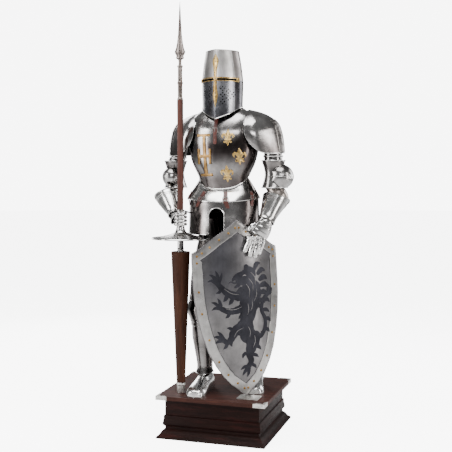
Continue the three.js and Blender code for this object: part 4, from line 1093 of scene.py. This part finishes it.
# gauntlets: rows of [place along, x, y, z, half width, half depth] from the wrist to the lip
gauntlets = {
    "cuffs": {
        "left": [[0, 244, -104, 1112, 43, 34], [1, 248, -96, 1124, 42, 33], [2, 254, -80, 1148, 47, 40],
                 [3, 264, -52, 1184, 58, 52], [4, 274, -26, 1216, 68, 64]],
        "right": [[0, -233, -152, 1140, 31, 28], [1, -242, -140, 1151, 30, 27],
                  [2, -256, -122, 1168, 39, 36],
                  [3, -281, -90, 1198, 53, 51], [4, -305, -60, 1228, 64, 62]]
    },
    "hands": {
        "left": [[0, 247, -98, 1121, 37, 28], [1, 243, -105, 1109, 37, 27], [2, 236, -112, 1090, 43, 24],
                 [3, 226, -120, 1066, 47, 20], [4, 212, -128, 1040, 48, 15]],
        "right": [[0, -242, -140, 1151, 23.5, 22.5], [1, -233, -152, 1139, 23, 20],
                  [2, -229, -164, 1125, 31, 17],
                  [3, -226, -173, 1117, 37, 13]]
    },
    "lift": [[0, 0], [1, 0], [2, 4], [3, 14], [4, 28]],
    "cuffSide": {"left": (0.9, 0.42, 0), "right": (-0.9, 0, 0)},
    "handSide": {"left": (0.9, 0.42, 0), "right": (0.15, 0.25, 1)}
}


def sleevePoint(rows, side, angle, t, out=0, squareness=2.0, lift=None):
    x, y, z, a, b = smoothAt(rows, t)
    last = rows[-1][0]
    ahead = Vector(smoothAt(rows, min(last, t + 0.1))[:3])
    behind = Vector(smoothAt(rows, max(0, t - 0.1))[:3])
    along = (ahead - behind).normalized()
    e1 = Vector(side) - along * Vector(side).dot(along)
    e1.normalize()
    e2 = along.cross(e1)
    c, s = power(math.cos(angle), 2 / squareness), power(math.sin(angle), 2 / squareness)
    p = Vector((x, y, z)) + e1 * c * (a + out) + e2 * s * (b + out)
    if lift:
        p += along * lift * max(0, math.cos(angle)) ** 2
    return p


def cuffPoint(name, angle, t, out=0):
    return sleevePoint(gauntlets["cuffs"][name], gauntlets["cuffSide"][name], angle, t, out, 2.0,
                       smoothAt(gauntlets["lift"], t)[0] or 0.001)


def finger(bm, path, start, end, side, lames, flat=0.85, sides=14):
    # overlapping lames: each one steps out over the next
    def place(u, v):
        centre = curvePoint(path, v)
        along = (curvePoint(path, min(1, v + 0.02)) - curvePoint(path, max(0, v - 0.02))).normalized()
        e1 = Vector(side) - along * Vector(side).dot(along)
        e1.normalize()
        e2 = along.cross(e1)
        within = (v * lames) % 1 if v < 0.999 else 1
        radius = mix(start, end, v) * (1.06 - 0.2 * within ** 1.5)
        radius *= math.sqrt(max(0.02, 1 - ease((v - 0.9) / 0.1) ** 2))
        turn = u * fullTurn
        across, up = e1 * power(math.cos(turn), 0.87), e2 * power(math.sin(turn), 0.87)
        return centre + across * radius + up * radius * flat

    faces = sheet(bm, place, sides, lames * 8, True)
    bmesh.ops.recalc_face_normals(bm, faces=faces)
    closeEnds(bm, faces)


# fingers: points from the knuckles to the tip, and the heights of those round the lance
fingers = {
    "left": [
        [[170, -145, 1036], [166, -147, 1004], [154, -153, 976], [145, -148, 956]],
        [[190, -133, 1036], [186, -136, 1000], [176, -143, 960], [168, -137, 932]],
        [[210, -121, 1036], [207, -124, 1000], [199, -131, 958], [192, -125, 926]],
        [[231, -109, 1036], [229, -112, 1004], [218, -119, 970], [209, -115, 943]]
    ],
    "leftThumb": [[196, -134, 1094], [184, -146, 1088], [172, -152, 1078], [164, -154, 1066]],
    "rightThumb": [[-212, -154, 1146], [-202, -150, 1144], [-190, -150, 1140], [-178, -154, 1135]],
    "rightHeights": (1094, 1112, 1130, 1148)
}


def makeGauntlets():
    for name in ("left", "right"):
        middle = Vector(gauntlets["cuffs"][name][2][1:4])
        plate(f"cuff_{name}", lambda u, v: cuffPoint(name, u * fullTurn, 4 * v), 64, 40, middle, highlightSteel)
        bm = bmesh.new()
        for t, radius in ((3.97, 2.6), (3.55, 1.5), (3.35, 1.5), (0.9, 1.4), (0.1, 1.8)):
            hoop(bm, lambda u: cuffPoint(name, u * fullTurn, t, 0.3), radius)
        finish(f"cuff_{name}_rims", bm, darkSteel if name == "left" else highlightSteel, slot="plate_steel")
        rows = gauntlets["hands"][name]
        last = rows[-1][0]

        def back(u, v):
            t = v * last
            step = 0.9 * ((v * 5) % 1) if v > 0.3 else 0
            return sleevePoint(rows, gauntlets["handSide"][name], u * fullTurn, t, -step, 2.2)

        plate(f"hand_{name}", back, 56, 50, Vector(rows[2][1:4]), highlightSteel, sharp=24)
    bm = bmesh.new()
    for path in fingers["left"]:
        finger(bm, path, 13.0, 11.6, Vector((0.86, 0.5, 0)), 6)
    finish("fingers_left_fine", bm, highlightSteel, ("fingers_left",), "plate_steel", 24)
    bm = bmesh.new()
    finger(bm, fingers["leftThumb"], 12, 9, (0, 0.5, 0.86), 4)
    finish("thumb_left_fine", bm, highlightSteel, ("thumb_left",), "plate_steel", 24)
    bm = bmesh.new()
    for z in fingers["rightHeights"]:
        path = []
        for k in range(8):
            t = math.radians(mix(168, 400, k / 7))
            path.append((lance["x"] + math.cos(t) * 27.2, lance["y"] + math.sin(t) * 27.2, z))
        finger(bm, path, 8.9, 7.6, (0, 0, 1), 5, 1.0)
    finish("fingers_right_fine", bm, highlightSteel, ("fingers_right",), "plate_steel", 24)
    bm = bmesh.new()
    finger(bm, fingers["rightThumb"], 10.2, 8.2, (0, 0, 1), 4)
    finish("thumb_right_fine", bm, highlightSteel, ("thumb_right",), "plate_steel", 24)


def kneeWing(name, angle, z):
    centre = 0 if name == "left" else math.pi
    delta = math.atan2(math.sin(angle - centre), math.cos(angle - centre))
    return 16 * hump(z - 644, 30) * hump(delta, 0.45)


# feet: rows of [distance ahead of the ankle, half width, height]
feet = {
    "rows": [[-62, 30, 74], [-48, 40, 88], [0, 44, 94], [42, 43, 88], [96, 48, 68], [152, 53, 48],
             [180, 42, 34],
             [188, 30, 24]],
    "places": {"right": (-90, -76, 0), "left": (144, 72, 12)}, "sole": 220.3, "lames": 9
}


def footPoint(name, u, ahead, out=0):
    x, y, turn = feet["places"][name]
    half, high = smoothAt(feet["rows"], ahead)
    forward = Vector((math.sin(math.radians(turn)), -math.cos(math.radians(turn)), 0))
    across = Vector((-forward.y, forward.x, 0))
    t = u * math.pi
    c = power(math.cos(t), 0.8)
    s = max(0, math.sin(t)) ** 0.75
    return (Vector((x, y, feet["sole"])) + forward * ahead + across * c * (half + out)
            + Vector((0, 0, s * (high + out))))


def makeLegs():
    for name in ("right", "left"):
        for part in ("cuisse", "poleyn", "greave"):
            rows = limbs[f"{part}_{name}"]
            low, high = rows[0][0], rows[-1][0]

            def place(u, v):
                angle = u * fullTurn
                z = mix(low, high, v)
                out = kneeWing(name, angle, z) if part == "poleyn" else 0
                p = limbPoint(rows, angle, z, out)
                if part == "greave":
                    p.z -= 10 * max(0, -math.sin(angle)) ** 2 * ease((345 - z) / 30)
                return p

            middleX = rows[2][1]
            # painted reflection and shade: darker towards +x, with a dark stripe 30 mm to the -x side of the
            # middle
            plate(f"{part}_{name}", place, 72, 40, limbMiddle(rows), steel,
                  lambda p: 0.5 + 0.5 * ease((p.x - middleX - 5) / 40) + 0.4 * hump(p.x - middleX + 30, 14))
            bm = bmesh.new()
            edges = {"cuisse": (0.015,), "poleyn": (0.01, 0.16, 0.8, 0.99), "greave": (0.01, 0.11)}[part]
            for v in edges:
                hoop(bm, lambda u: place(u, v), 2.2 if part != "cuisse" else 2.0)
            if part == "greave":
                for angle in (0.06, 0.44):
                    tubeAlong(bm, [place(angle, k / 12) for k in range(13)], 1.3, sides=6, steps=40)
                    for v in (0.12, 0.35, 0.6, 0.85):
                        p = place(angle, v)
                        rivet(bm, p, p - Vector((rows[2][1], rows[2][2], p.z)), 4, 3)
            if part == "poleyn":
                for angle in (0, 0.5):
                    for v in (0.12, 0.9):
                        p = place(angle, v)
                        rivet(bm, p, p - Vector((rows[2][1], rows[2][2], p.z)), 4.5, 3.2)
            if part == "cuisse":
                tubeAlong(bm, [limbPoint(rows, mix(math.pi * 1.1, math.pi * 1.9, k / 16),
                                         mix(790, 760, hump(k - 8, 4)), 0.4) for k in range(17)], 1.6,
                                         sides=6, steps=50)
            trim(f"{part}_{name}_edges", bm)
        start, end = feet["rows"][0][0], feet["rows"][-1][0]
        bm = bmesh.new()

        def foot(u, v):
            ahead = mix(start, end, v)
            step = 1.4 * (1 - (v * feet["lames"]) % 1) * ease((ahead - 20) / 20)
            p = footPoint(name, u, ahead, step - 1.4)
            # the first and last rows close the heel and the toe
            return p if 0 < v < 1 else p.lerp((footPoint(name, 0, ahead) + footPoint(name, 1, ahead)) / 2,
                                              0.95)

        faces = sheet(bm, foot, 40, 96)
        bmesh.ops.recalc_face_normals(bm, faces=faces)
        closeEnds(bm, bm.faces[:])
        turnOut(bm)
        finish(f"sabaton_{name}_fine", bm, highlightSteel, (f"sabaton_{name}",), "plate_steel", 24)


# lance: its axis, and the head's rows of [height, half width]
lance = {
    "x": -187, "y": -182,
    "blade": [[1898.3, 9], [1910, 7.5], [1926, 8.5], [1931, 17], [1935, 22], [1941, 18.5], [1950, 20],
              [1960, 26],
              [1966, 28], [1975, 24], [1985, 20.5], [2010, 15.5], [2050, 10.5], [2110, 6.8], [2170, 4],
              [2217, 0.8]]
}


def makeLance():
    x, y = lance["x"], lance["y"]
    pieces = [
        ("lance_ferrule", silver, "silver_fittings", [
            [0, 220.3], [20, 220.3], [21, 221.5], [21, 258], [22, 262], [23.4, 265], [22.6, 268],
            [23.4, 271], [23, 274],
            [22, 275], [19.3, 275], [19.3, 228], [0, 228]]),
        ("lance_butt", buttWood, "lance_wood", [
            [0, 228.4], [19, 228.4], [19, 276], [22.5, 277], [47.5, 936], [48.5, 940], [48.7, 945],
            [48, 951], [46.6, 953],
            [0, 953]]),
        ("lance_grip", steel, "plate_steel", [
            [12.5, 953.3], [18, 953.3], [19, 955.5], [18.6, 958], [16.4, 961], [16, 964], [17.5, 966],
            [18.4, 968], [17.5, 970],
            [16, 972], [16, 1167.7], [12.5, 1167.7], [12.5, 953.3]]),
        ("vamplate", steel, "plate_steel", [
            [17.2, 1084], [18.1, 1078], [20, 1066], [25, 1054], [34, 1046], [52, 1038.5], [76, 1032],
            [110, 1025], [138, 1019.6],
            [143, 1018.6], [146.5, 1020], [147, 1022], [144.5, 1024.5], [139, 1024], [110, 1028.6],
            [77, 1035.5],
            [54, 1042], [38, 1048.5], [28, 1056], [23, 1067], [21, 1078], [20.4, 1084], [18.8, 1085],
            [17.2, 1084]]),
        ("lance_shaft", shaftWood, "lance_wood", [
            [0, 1168], [14.6, 1168], [15, 1169], [15.2, 1440], [16, 1723], [15.6, 1724.7], [0, 1724.7]]),
        ("lance_socket", warmSteel, "plate_steel", [
            [0, 1725], [14.6, 1725], [15.4, 1727], [15.4, 1731], [14.6, 1733], [12, 1736], [12.1, 1803],
            [14.2, 1805.5],
            [15, 1810], [14.2, 1814.5], [12, 1817], [11.6, 1850], [11.5, 1887], [14, 1890], [15, 1893.5],
            [14.4, 1897],
            [13, 1898], [0, 1898]])
    ]
    for name, finishOf, slot, outline in pieces:
        bm = bmesh.new()
        lathe(bm, outline, x, y)
        # painted shade: the fittings darker above 1700 mm
        finish(f"{name}_fine", bm, finishOf, (name,), slot, paintedShade=lambda p: 0.5 * ease((p.z - 1700) / 20))
    # the head: four concave blades about one axis
    blade = lance["blade"]
    bm = bmesh.new()

    def head(u, v):
        z = mix(blade[0][0], blade[-1][0], v)
        reach = straightAt(blade, z)[0]
        angle = u * fullTurn
        star = abs(math.cos(2 * angle)) ** 5
        core = min(reach, 5.0) * 0.75
        r = mix(core, reach, star)
        turn = angle + math.radians(17)
        return Vector((x + r * math.cos(turn), y + r * math.sin(turn), z))

    sheet(bm, head, 64, 140, True)
    closeEnds(bm, bm.faces[:])
    turnOut(bm)
    # painted shade: the head darkened evenly
    finish("lance_head_fine", bm, warmSteel, ("lance_head",), "plate_steel", 40, paintedShade=lambda p: 0.5)
    bm = bmesh.new()
    lathe(bm, [[138, 1017.6], [147, 1017.6], [149.4, 1020], [149.4, 1022.5], [147, 1025], [144, 1024],
               [143, 1020],
               [138, 1019], [138, 1017.6]], x, y, 96)
    trim("vamplate_rim", bm)


# shield: half outline as rows of [half width, lower edge, upper edge]
shield = {
    "radius": 430, "turn": 36, "roll": 3.6, "tip": (154, -137, 222.2), "wall": 3.0, "border": 46,
    "edge": [[0, 0, 896], [14, 12, 885], [40, 34, 866], [75, 64, 844], [110, 105, 822], [145, 163, 796],
             [175, 231, 774], [200, 322, 756], [217, 412, 746], [226, 500, 741], [228, 560, 700]]
}


def shieldPoint(q, v, out=0):
    turn, roll = math.radians(shield["turn"]), math.radians(shield["roll"])
    facing = Vector((math.sin(turn), -math.cos(turn), 0))
    level = Vector((math.cos(turn), math.sin(turn), 0))
    across = level * math.cos(roll) + Vector((0, 0, math.sin(roll)))
    upward = Vector((0, 0, math.cos(roll))) - level * math.sin(roll)
    radius = shield["radius"]
    back = radius - math.sqrt(radius * radius - q * q)
    normal = facing * math.sqrt(1 - (q / radius) ** 2) + across * (q / radius)
    return Vector(shield["tip"]) + across * q + upward * v - facing * back + normal * out


def shieldOutline(s):
    # once round the shield from the tip, s from 0 to 1
    half = [(q, low) for q, low, _ in shield["edge"]]
    half += [(q, high) for q, _, high in reversed(shield["edge"])]
    t = fold(s)
    at = t * (len(half) - 1)
    k = min(int(at), len(half) - 2)
    q = mix(half[k][0], half[k + 1][0], at - k)
    v = mix(half[k][1], half[k + 1][1], at - k)
    nx, ny = half[k][1] - half[k + 1][1], half[k + 1][0] - half[k][0]
    length = math.hypot(nx, ny)
    side = 1 if s <= 0.5 else -1
    return side * q, v, side * nx / length, ny / length


def shieldInward(s, width):
    q, v, nx, ny = shieldOutline(s)
    goal = (q * 0.35, min(max(v, 200), 594))
    dx, dy = goal[0] - q, goal[1] - v
    length = math.hypot(dx, dy)
    dx, dy = dx / length, dy / length
    reach = width / max(0.35, dx * nx + dy * ny)
    return q + dx * reach, v + dy * reach


# the lion's strokes: rows of [across, up, half width], drawn
lionStrokes = [
    [[66, 600, 14], [62, 560, 50], [56, 516, 60], [46, 466, 54], [34, 416, 42], [20, 366, 38],
     [24, 316, 44], [46, 280, 34]],
    [[84, 640, 14], [62, 626, 38], [34, 606, 38], [6, 592, 28], [-22, 584, 14]],
    [[22, 634, 5], [-8, 618, 13], [-32, 602, 9], [-40, 590, 2]],
    [[4, 590, 13], [-14, 566, 10], [-32, 558, 3]],
    [[-6, 582, 3], [-30, 580, 4], [-50, 588, 3], [-62, 578, 1]],
    [[24, 636, 3], [36, 660, 11], [46, 636, 15]],
    [[80, 630, 6], [96, 664, 13], [118, 668, 2]], [[96, 610, 8], [122, 632, 14], [146, 626, 2]],
    [[104, 580, 8], [134, 594, 15], [156, 580, 2]], [[106, 550, 8], [138, 556, 15], [158, 538, 2]],
    [[104, 516, 8], [132, 518, 14], [150, 500, 2]], [[94, 480, 8], [120, 476, 12], [134, 460, 2]],
    [[10, 556, 8], [-6, 540, 12], [-24, 534, 2]], [[6, 520, 10], [-8, 500, 12], [-22, 488, 2]],
    [[40, 522, 30], [-8, 512, 24], [-54, 524, 19], [-94, 556, 15], [-118, 590, 12]],
    [[-116, 584, 11], [-140, 600, 8], [-162, 596, 1]], [[-118, 590, 11], [-134, 620, 8], [-154, 632, 1]],
    [[-116, 594, 11], [-114, 626, 8], [-122, 650, 1]], [[-112, 588, 11], [-96, 616, 7], [-90, 638, 1]],
    [[-66, 532, 8], [-78, 506, 10], [-92, 490, 1]], [[-40, 514, 8], [-52, 488, 10], [-66, 472, 1]],
    [[-92, 556, 7], [-110, 540, 7], [-126, 536, 1]],
    [[42, 468, 32], [2, 450, 22], [-42, 438, 17], [-80, 442, 14], [-112, 462, 12]],
    [[-106, 456, 10], [-132, 460, 7], [-150, 450, 1]], [[-110, 462, 10], [-132, 484, 7], [-150, 490, 1]],
    [[-106, 466, 10], [-110, 492, 7], [-120, 510, 1]], [[-60, 436, 7], [-72, 416, 8], [-86, 406, 1]],
    [[26, 352, 40], [-10, 346, 34], [-44, 330, 25], [-62, 298, 17], [-84, 282, 14], [-108, 300, 12]],
    [[-102, 294, 11], [-126, 290, 8], [-146, 278, 1]], [[-106, 298, 11], [-130, 312, 8], [-148, 314, 1]],
    [[-104, 300, 11], [-116, 326, 8], [-130, 340, 1]], [[-84, 280, 8], [-92, 260, 8], [-106, 248, 1]],
    [[-58, 300, 8], [-66, 276, 9], [-62, 258, 1]], [[-50, 338, 8], [-66, 352, 8], [-82, 354, 1]],
    [[46, 322, 44], [54, 280, 40], [40, 240, 30], [30, 206, 20], [36, 172, 15], [16, 142, 13]],
    [[20, 148, 11], [-4, 146, 8], [-24, 134, 1]], [[16, 142, 11], [-2, 122, 8], [-16, 104, 1]],
    [[20, 142, 11], [18, 114, 8], [8, 94, 1]], [[34, 158, 8], [54, 146, 8], [62, 130, 1]],
    [[58, 250, 8], [82, 240, 10], [96, 222, 1]], [[42, 206, 7], [64, 200, 9], [80, 186, 1]],
    [[12, 220, 8], [-4, 208, 8], [-10, 192, 1]],
    [[50, 300, 14], [94, 292, 12], [126, 328, 11], [130, 380, 10], [112, 424, 10], [122, 474, 11],
     [152, 502, 11]],
    [[122, 474, 9], [148, 476, 11], [166, 460, 1]], [[112, 424, 9], [140, 424, 10], [160, 408, 1]],
    [[130, 380, 8], [154, 374, 10], [168, 356, 1]], [[122, 330, 8], [146, 318, 9], [158, 300, 1]],
    [[148, 496, 11], [164, 526, 13], [152, 562, 1]], [[152, 502, 9], [176, 512, 10], [186, 536, 1]],
    [[116, 440, 8], [94, 452, 9], [86, 470, 1]], [[30, 420, 12], [-4, 410, 10], [-20, 396, 1]],
    [[18, 384, 12], [-14, 376, 9], [-30, 360, 1]]
]
# lighter lines over it: the eye, the mane, the ribs and the thighs
lionLines = [
    [[14, 612, 0.8], [24, 616, 2.6], [34, 612, 0.8]],
    [[60, 628, 0.6], [82, 600, 1.4], [84, 560, 0.6]], [[46, 598, 0.6], [68, 566, 1.4], [66, 526, 0.6]],
    [[30, 572, 0.6], [48, 540, 1.4], [44, 500, 0.6]], [[88, 540, 0.6], [86, 506, 1.4], [70, 476, 0.6]],
    [[58, 486, 0.6], [60, 456, 1.3], [48, 430, 0.6]], [[34, 470, 0.6], [38, 440, 1.3], [30, 412, 0.6]],
    [[30, 352, 0.6], [40, 324, 1.3], [34, 296, 0.6]], [[2, 348, 0.6], [-30, 334, 1.3], [-48, 306, 0.6]],
    [[62, 304, 0.6], [64, 270, 1.3], [50, 240, 0.6]], [[-10, 520, 0.6], [-50, 530, 1.3], [-84, 556, 0.6]],
    [[0, 456, 0.6], [-40, 446, 1.3], [-80, 452, 0.6]]
]


def makeShield():
    edge = shield["edge"]
    bm = bmesh.new()

    def face(u, v):
        q = mix(-edge[-1][0], edge[-1][0], u)
        low, high = straightAt(edge, abs(q))
        return shieldPoint(q, mix(low, high, v))

    thicken(bm, sheet(bm, face, 120, 80), shield["wall"], 0, shieldPoint(0, 450, -200))
    # painted shade: darker over the upper middle and towards +x
    finish("shield_face_fine", bm, shieldSteel, ("shield_face",), "plate_steel", paintedShade=lambda p: (
        0.15 + 0.8 * ease((p.z - 560) / 280) * hump(p.x - 30, 110) + 0.3 * ease((p.x - 170) / 80)))
    bm = bmesh.new()

    def band(u, v):
        q, up = shieldInward(u, mix(1.5, shield["border"], v))
        return shieldPoint(q, up, 1.9 - 0.7 * hump(v, 0.1) - 0.6 * hump(v - 1, 0.05))

    thicken(bm, sheet(bm, band, 168, 16, True), 1.7, 0, shieldPoint(0, 450, -200))
    # painted shade: the border darker towards the top
    finish("shield_border_fine", bm, borderSteel, ("shield_border",), "plate_steel",
           paintedShade=lambda p: 0.35 * ease((p.z - 900) / 150))
    bm = bmesh.new()
    rim = [shieldPoint(*shieldOutline(k / 168)[:2], -0.8) for k in range(168)]

    def rope(u):
        onTop = 0.27 < u < 0.73
        return 1 + (0.28 * math.sin(u * 900) if onTop else 0)

    tubeAlong(bm, rim, 2.9, True, 10, 1008, wave=rope)
    # painted shade: the rim darkened evenly
    finish("shield_rim", bm, shieldSteel, slot="plate_steel", paintedShade=lambda p: 0.3)
    bm = bmesh.new()
    hoop(bm, lambda s: shieldPoint(*shieldInward(s, shield["border"] + 1.5), 0.3), 1.2, 168, 6)
    finish("shield_line", bm, lionSteel, slot="dark_iron")
    bm = bmesh.new()
    for k in range(28):
        s = (k + 0.5) / 28
        q, v = shieldInward(s, shield["border"] / 2)
        at = shieldPoint(q, v, 2.2)
        rivet(bm, at, shieldPoint(q, v, 10) - at, 6.4, 4.4, 16)
    finish("shield_rivets", bm, dullBrass, slot="brass_trim")
    bm = bmesh.new()
    for index, line in enumerate(lionStrokes):
        lift = 0.9 + 0.015 * index
        stroke(bm, line, lambda q, v, out: shieldPoint(q, v, lift + out), 0.3, wobble=0.05)
    turnOut(bm)
    finish("shield_lion", bm, lionSteel, slot="dark_iron", sharp=50)
    bm = bmesh.new()
    for line in lionLines:
        stroke(bm, line, lambda q, v, out: shieldPoint(q, v, 2.0 + out), 0.25, 8, 24)
    turnOut(bm)
    finish("shield_lion_lines", bm, shieldSteel, slot="plate_steel", sharp=50)


# plinth: rows of [inset from the board's side, height]
plinth = {
    "side": 575,
    "rows": [[0.8, 0], [0, 1.2], [0, 7], [1, 8.6], [6, 12], [12, 17.6], [15, 21], [20, 28], [23, 34],
             [28, 39.5],
             [34, 43.6], [38, 46], [38, 58], [34, 61], [29.5, 66], [27.4, 72], [28, 77], [28.6, 82],
             [30, 90], [31.6, 96],
             [32, 100], [32, 112], [33, 115], [38, 118], [38, 200.2]]
}


def makePlinth():
    rows = plinth["rows"]
    half = plinth["side"] / 2
    bm = bmesh.new()

    def place(u, v):
        inset, z = rows[round(v * (len(rows) - 1))]
        corner = [(-1, -1), (1, -1), (1, 1), (-1, 1)][round(u * 4) % 4]
        return Vector((corner[0] * (half - inset), corner[1] * (half - inset), z))

    sheet(bm, place, 4, len(rows) - 1, True)
    closeEnds(bm, bm.faces[:])
    turnOut(bm)
    upright = [e for e in bm.edges if abs(e.verts[0].co.z - e.verts[1].co.z) > 1 and abs(
        e.verts[0].co.x - e.verts[1].co.x) - abs(e.verts[0].co.y - e.verts[1].co.y) < 0.01]
    bmesh.ops.bevel(bm, geom=upright, offset=1.2, affect="EDGES", segments=2, profile=0.5, material=-1)
    finish("plinth_body_fine", bm, mahogany, ("plinth_body",), "plinth_wood", 25)


kept = {
    "plinth_board": boardWood, "shield_rest": silver, "lance_stay": darkSteel,
    "corner_plate_1": silver, "corner_plate_2": silver, "corner_plate_3": silver, "corner_plate_4": silver
}


def dressKept():
    for name, material in kept.items():
        mesh = nodes[name].data
        mesh.materials.clear()
        mesh.materials.append(material)


# the floor, the lights and the camera
stage = {
    "floor": (0.93, 0.93, 0.93), "seen": 7.5, "dim": 0.22, "paper": 6.6,
    "azimuth": 17.42, "distance": 4.463, "height": 1.336, "pitch": 3.32, "pixels": 850.0, "frame": 452.0
}


def makeStage():
    bm = bmesh.new()
    bmesh.ops.create_circle(bm, cap_ends=True, segments=96, radius=30)
    mesh = bpy.data.meshes.new("floor")
    bm.to_mesh(mesh)
    bm.free()
    floor = bpy.data.objects.new("floor", mesh)
    bpy.context.scene.collection.objects.link(floor)
    material, tree, shader, _ = nodeTree("floor paper")
    shader.inputs["Base Color"].default_value = (*stage["floor"], 1)
    shader.inputs["Roughness"].default_value = 0.9
    shader.inputs["Emission Color"].default_value = (1, 1, 1, 1)
    glow = tree.nodes.new("ShaderNodeLightPath")
    paper = tree.nodes.new("ShaderNodeMapRange")
    paper.inputs["To Max"].default_value = stage["paper"]
    tree.links.new(glow.outputs["Is Camera Ray"], paper.inputs["Value"])
    tree.links.new(paper.outputs["Result"], shader.inputs["Emission Strength"])
    mesh.materials.append(material)
    world = bpy.data.worlds.new("studio")
    bpy.context.scene.world = world
    world.use_nodes = True
    tree = world.node_tree
    sky = tree.nodes["Background"]
    sky.inputs["Color"].default_value = (1, 1, 1, 1)
    path = tree.nodes.new("ShaderNodeLightPath")
    level = tree.nodes.new("ShaderNodeMapRange")
    level.inputs["To Min"].default_value = stage["dim"]
    level.inputs["To Max"].default_value = stage["seen"]
    tree.links.new(path.outputs["Is Camera Ray"], level.inputs["Value"])
    tree.links.new(level.outputs["Result"], sky.inputs["Strength"])


def areaLight(name, place, aim, size, power, colour=(1, 1, 1)):
    light = bpy.data.lights.new(name, "AREA")
    light.shape = "RECTANGLE"
    light.size, light.size_y = size
    light.energy = power
    light.color = colour
    lamp = bpy.data.objects.new(name, light)
    bpy.context.scene.collection.objects.link(lamp)
    lamp.location = place
    lamp.rotation_mode = "QUATERNION"
    lamp.rotation_quaternion = (Vector(aim) - Vector(place)).to_track_quat("-Z", "Y")


def makeLights():
    areaLight("top", (-0.3, -0.9, 4.3), (0, 0, 1.0), (2.8, 2.2), 190)
    areaLight("front high", (1.5, -4.7, 3.2), (0, 0, 1.6), (2.6, 1.0), 85)
    areaLight("left strip", (-2.9, -2.4, 1.9), (0, 0, 1.2), (0.8, 3.2), 120, (1, 0.99, 0.98))
    areaLight("right strip", (3.4, -1.0, 1.8), (0, 0, 1.2), (0.7, 3.0), 70, (1, 0.97, 0.94))
    areaLight("back left", (-2.4, 2.6, 2.2), (0, 0, 1.3), (1.4, 2.8), 80)
    areaLight("back right", (2.6, 2.4, 2.2), (0, 0, 1.3), (1.4, 2.8), 80)


def makeCamera():
    a, p = math.radians(stage["azimuth"]), math.radians(stage["pitch"])
    camera = bpy.data.cameras.new("camera")
    camera.sensor_width = 36
    camera.lens = stage["pixels"] / stage["frame"] * camera.sensor_width
    camera.clip_start, camera.clip_end = 0.05, 200
    eye = bpy.data.objects.new("camera", camera)
    bpy.context.scene.collection.objects.link(eye)
    eye.location = (stage["distance"] * math.sin(a), -stage["distance"] * math.cos(a), stage["height"])
    look = Vector((-math.sin(a) * math.cos(p), math.cos(a) * math.cos(p), -math.sin(p)))
    eye.rotation_mode = "QUATERNION"
    eye.rotation_quaternion = look.to_track_quat("-Z", "Y")
    bpy.context.scene.camera = eye


steps = [("cuirass", makeCuirass), ("helm", makeHelm), ("helm cross", makeHelmCross),
         ("chest ornaments", makeChestOrnaments),
         ("chest strap", makeChestStrap), ("belt", makeBelt), ("shoulders", makeShoulders),
         ("arms", makeArms),
         ("gauntlets", makeGauntlets), ("legs", makeLegs), ("lance", makeLance), ("shield", makeShield),
         ("plinth", makePlinth), ("kept nodes", dressKept), ("stage", makeStage), ("lights", makeLights),
         ("camera", makeCamera)]
for label, make in steps:
    make()
    print("made:", label)
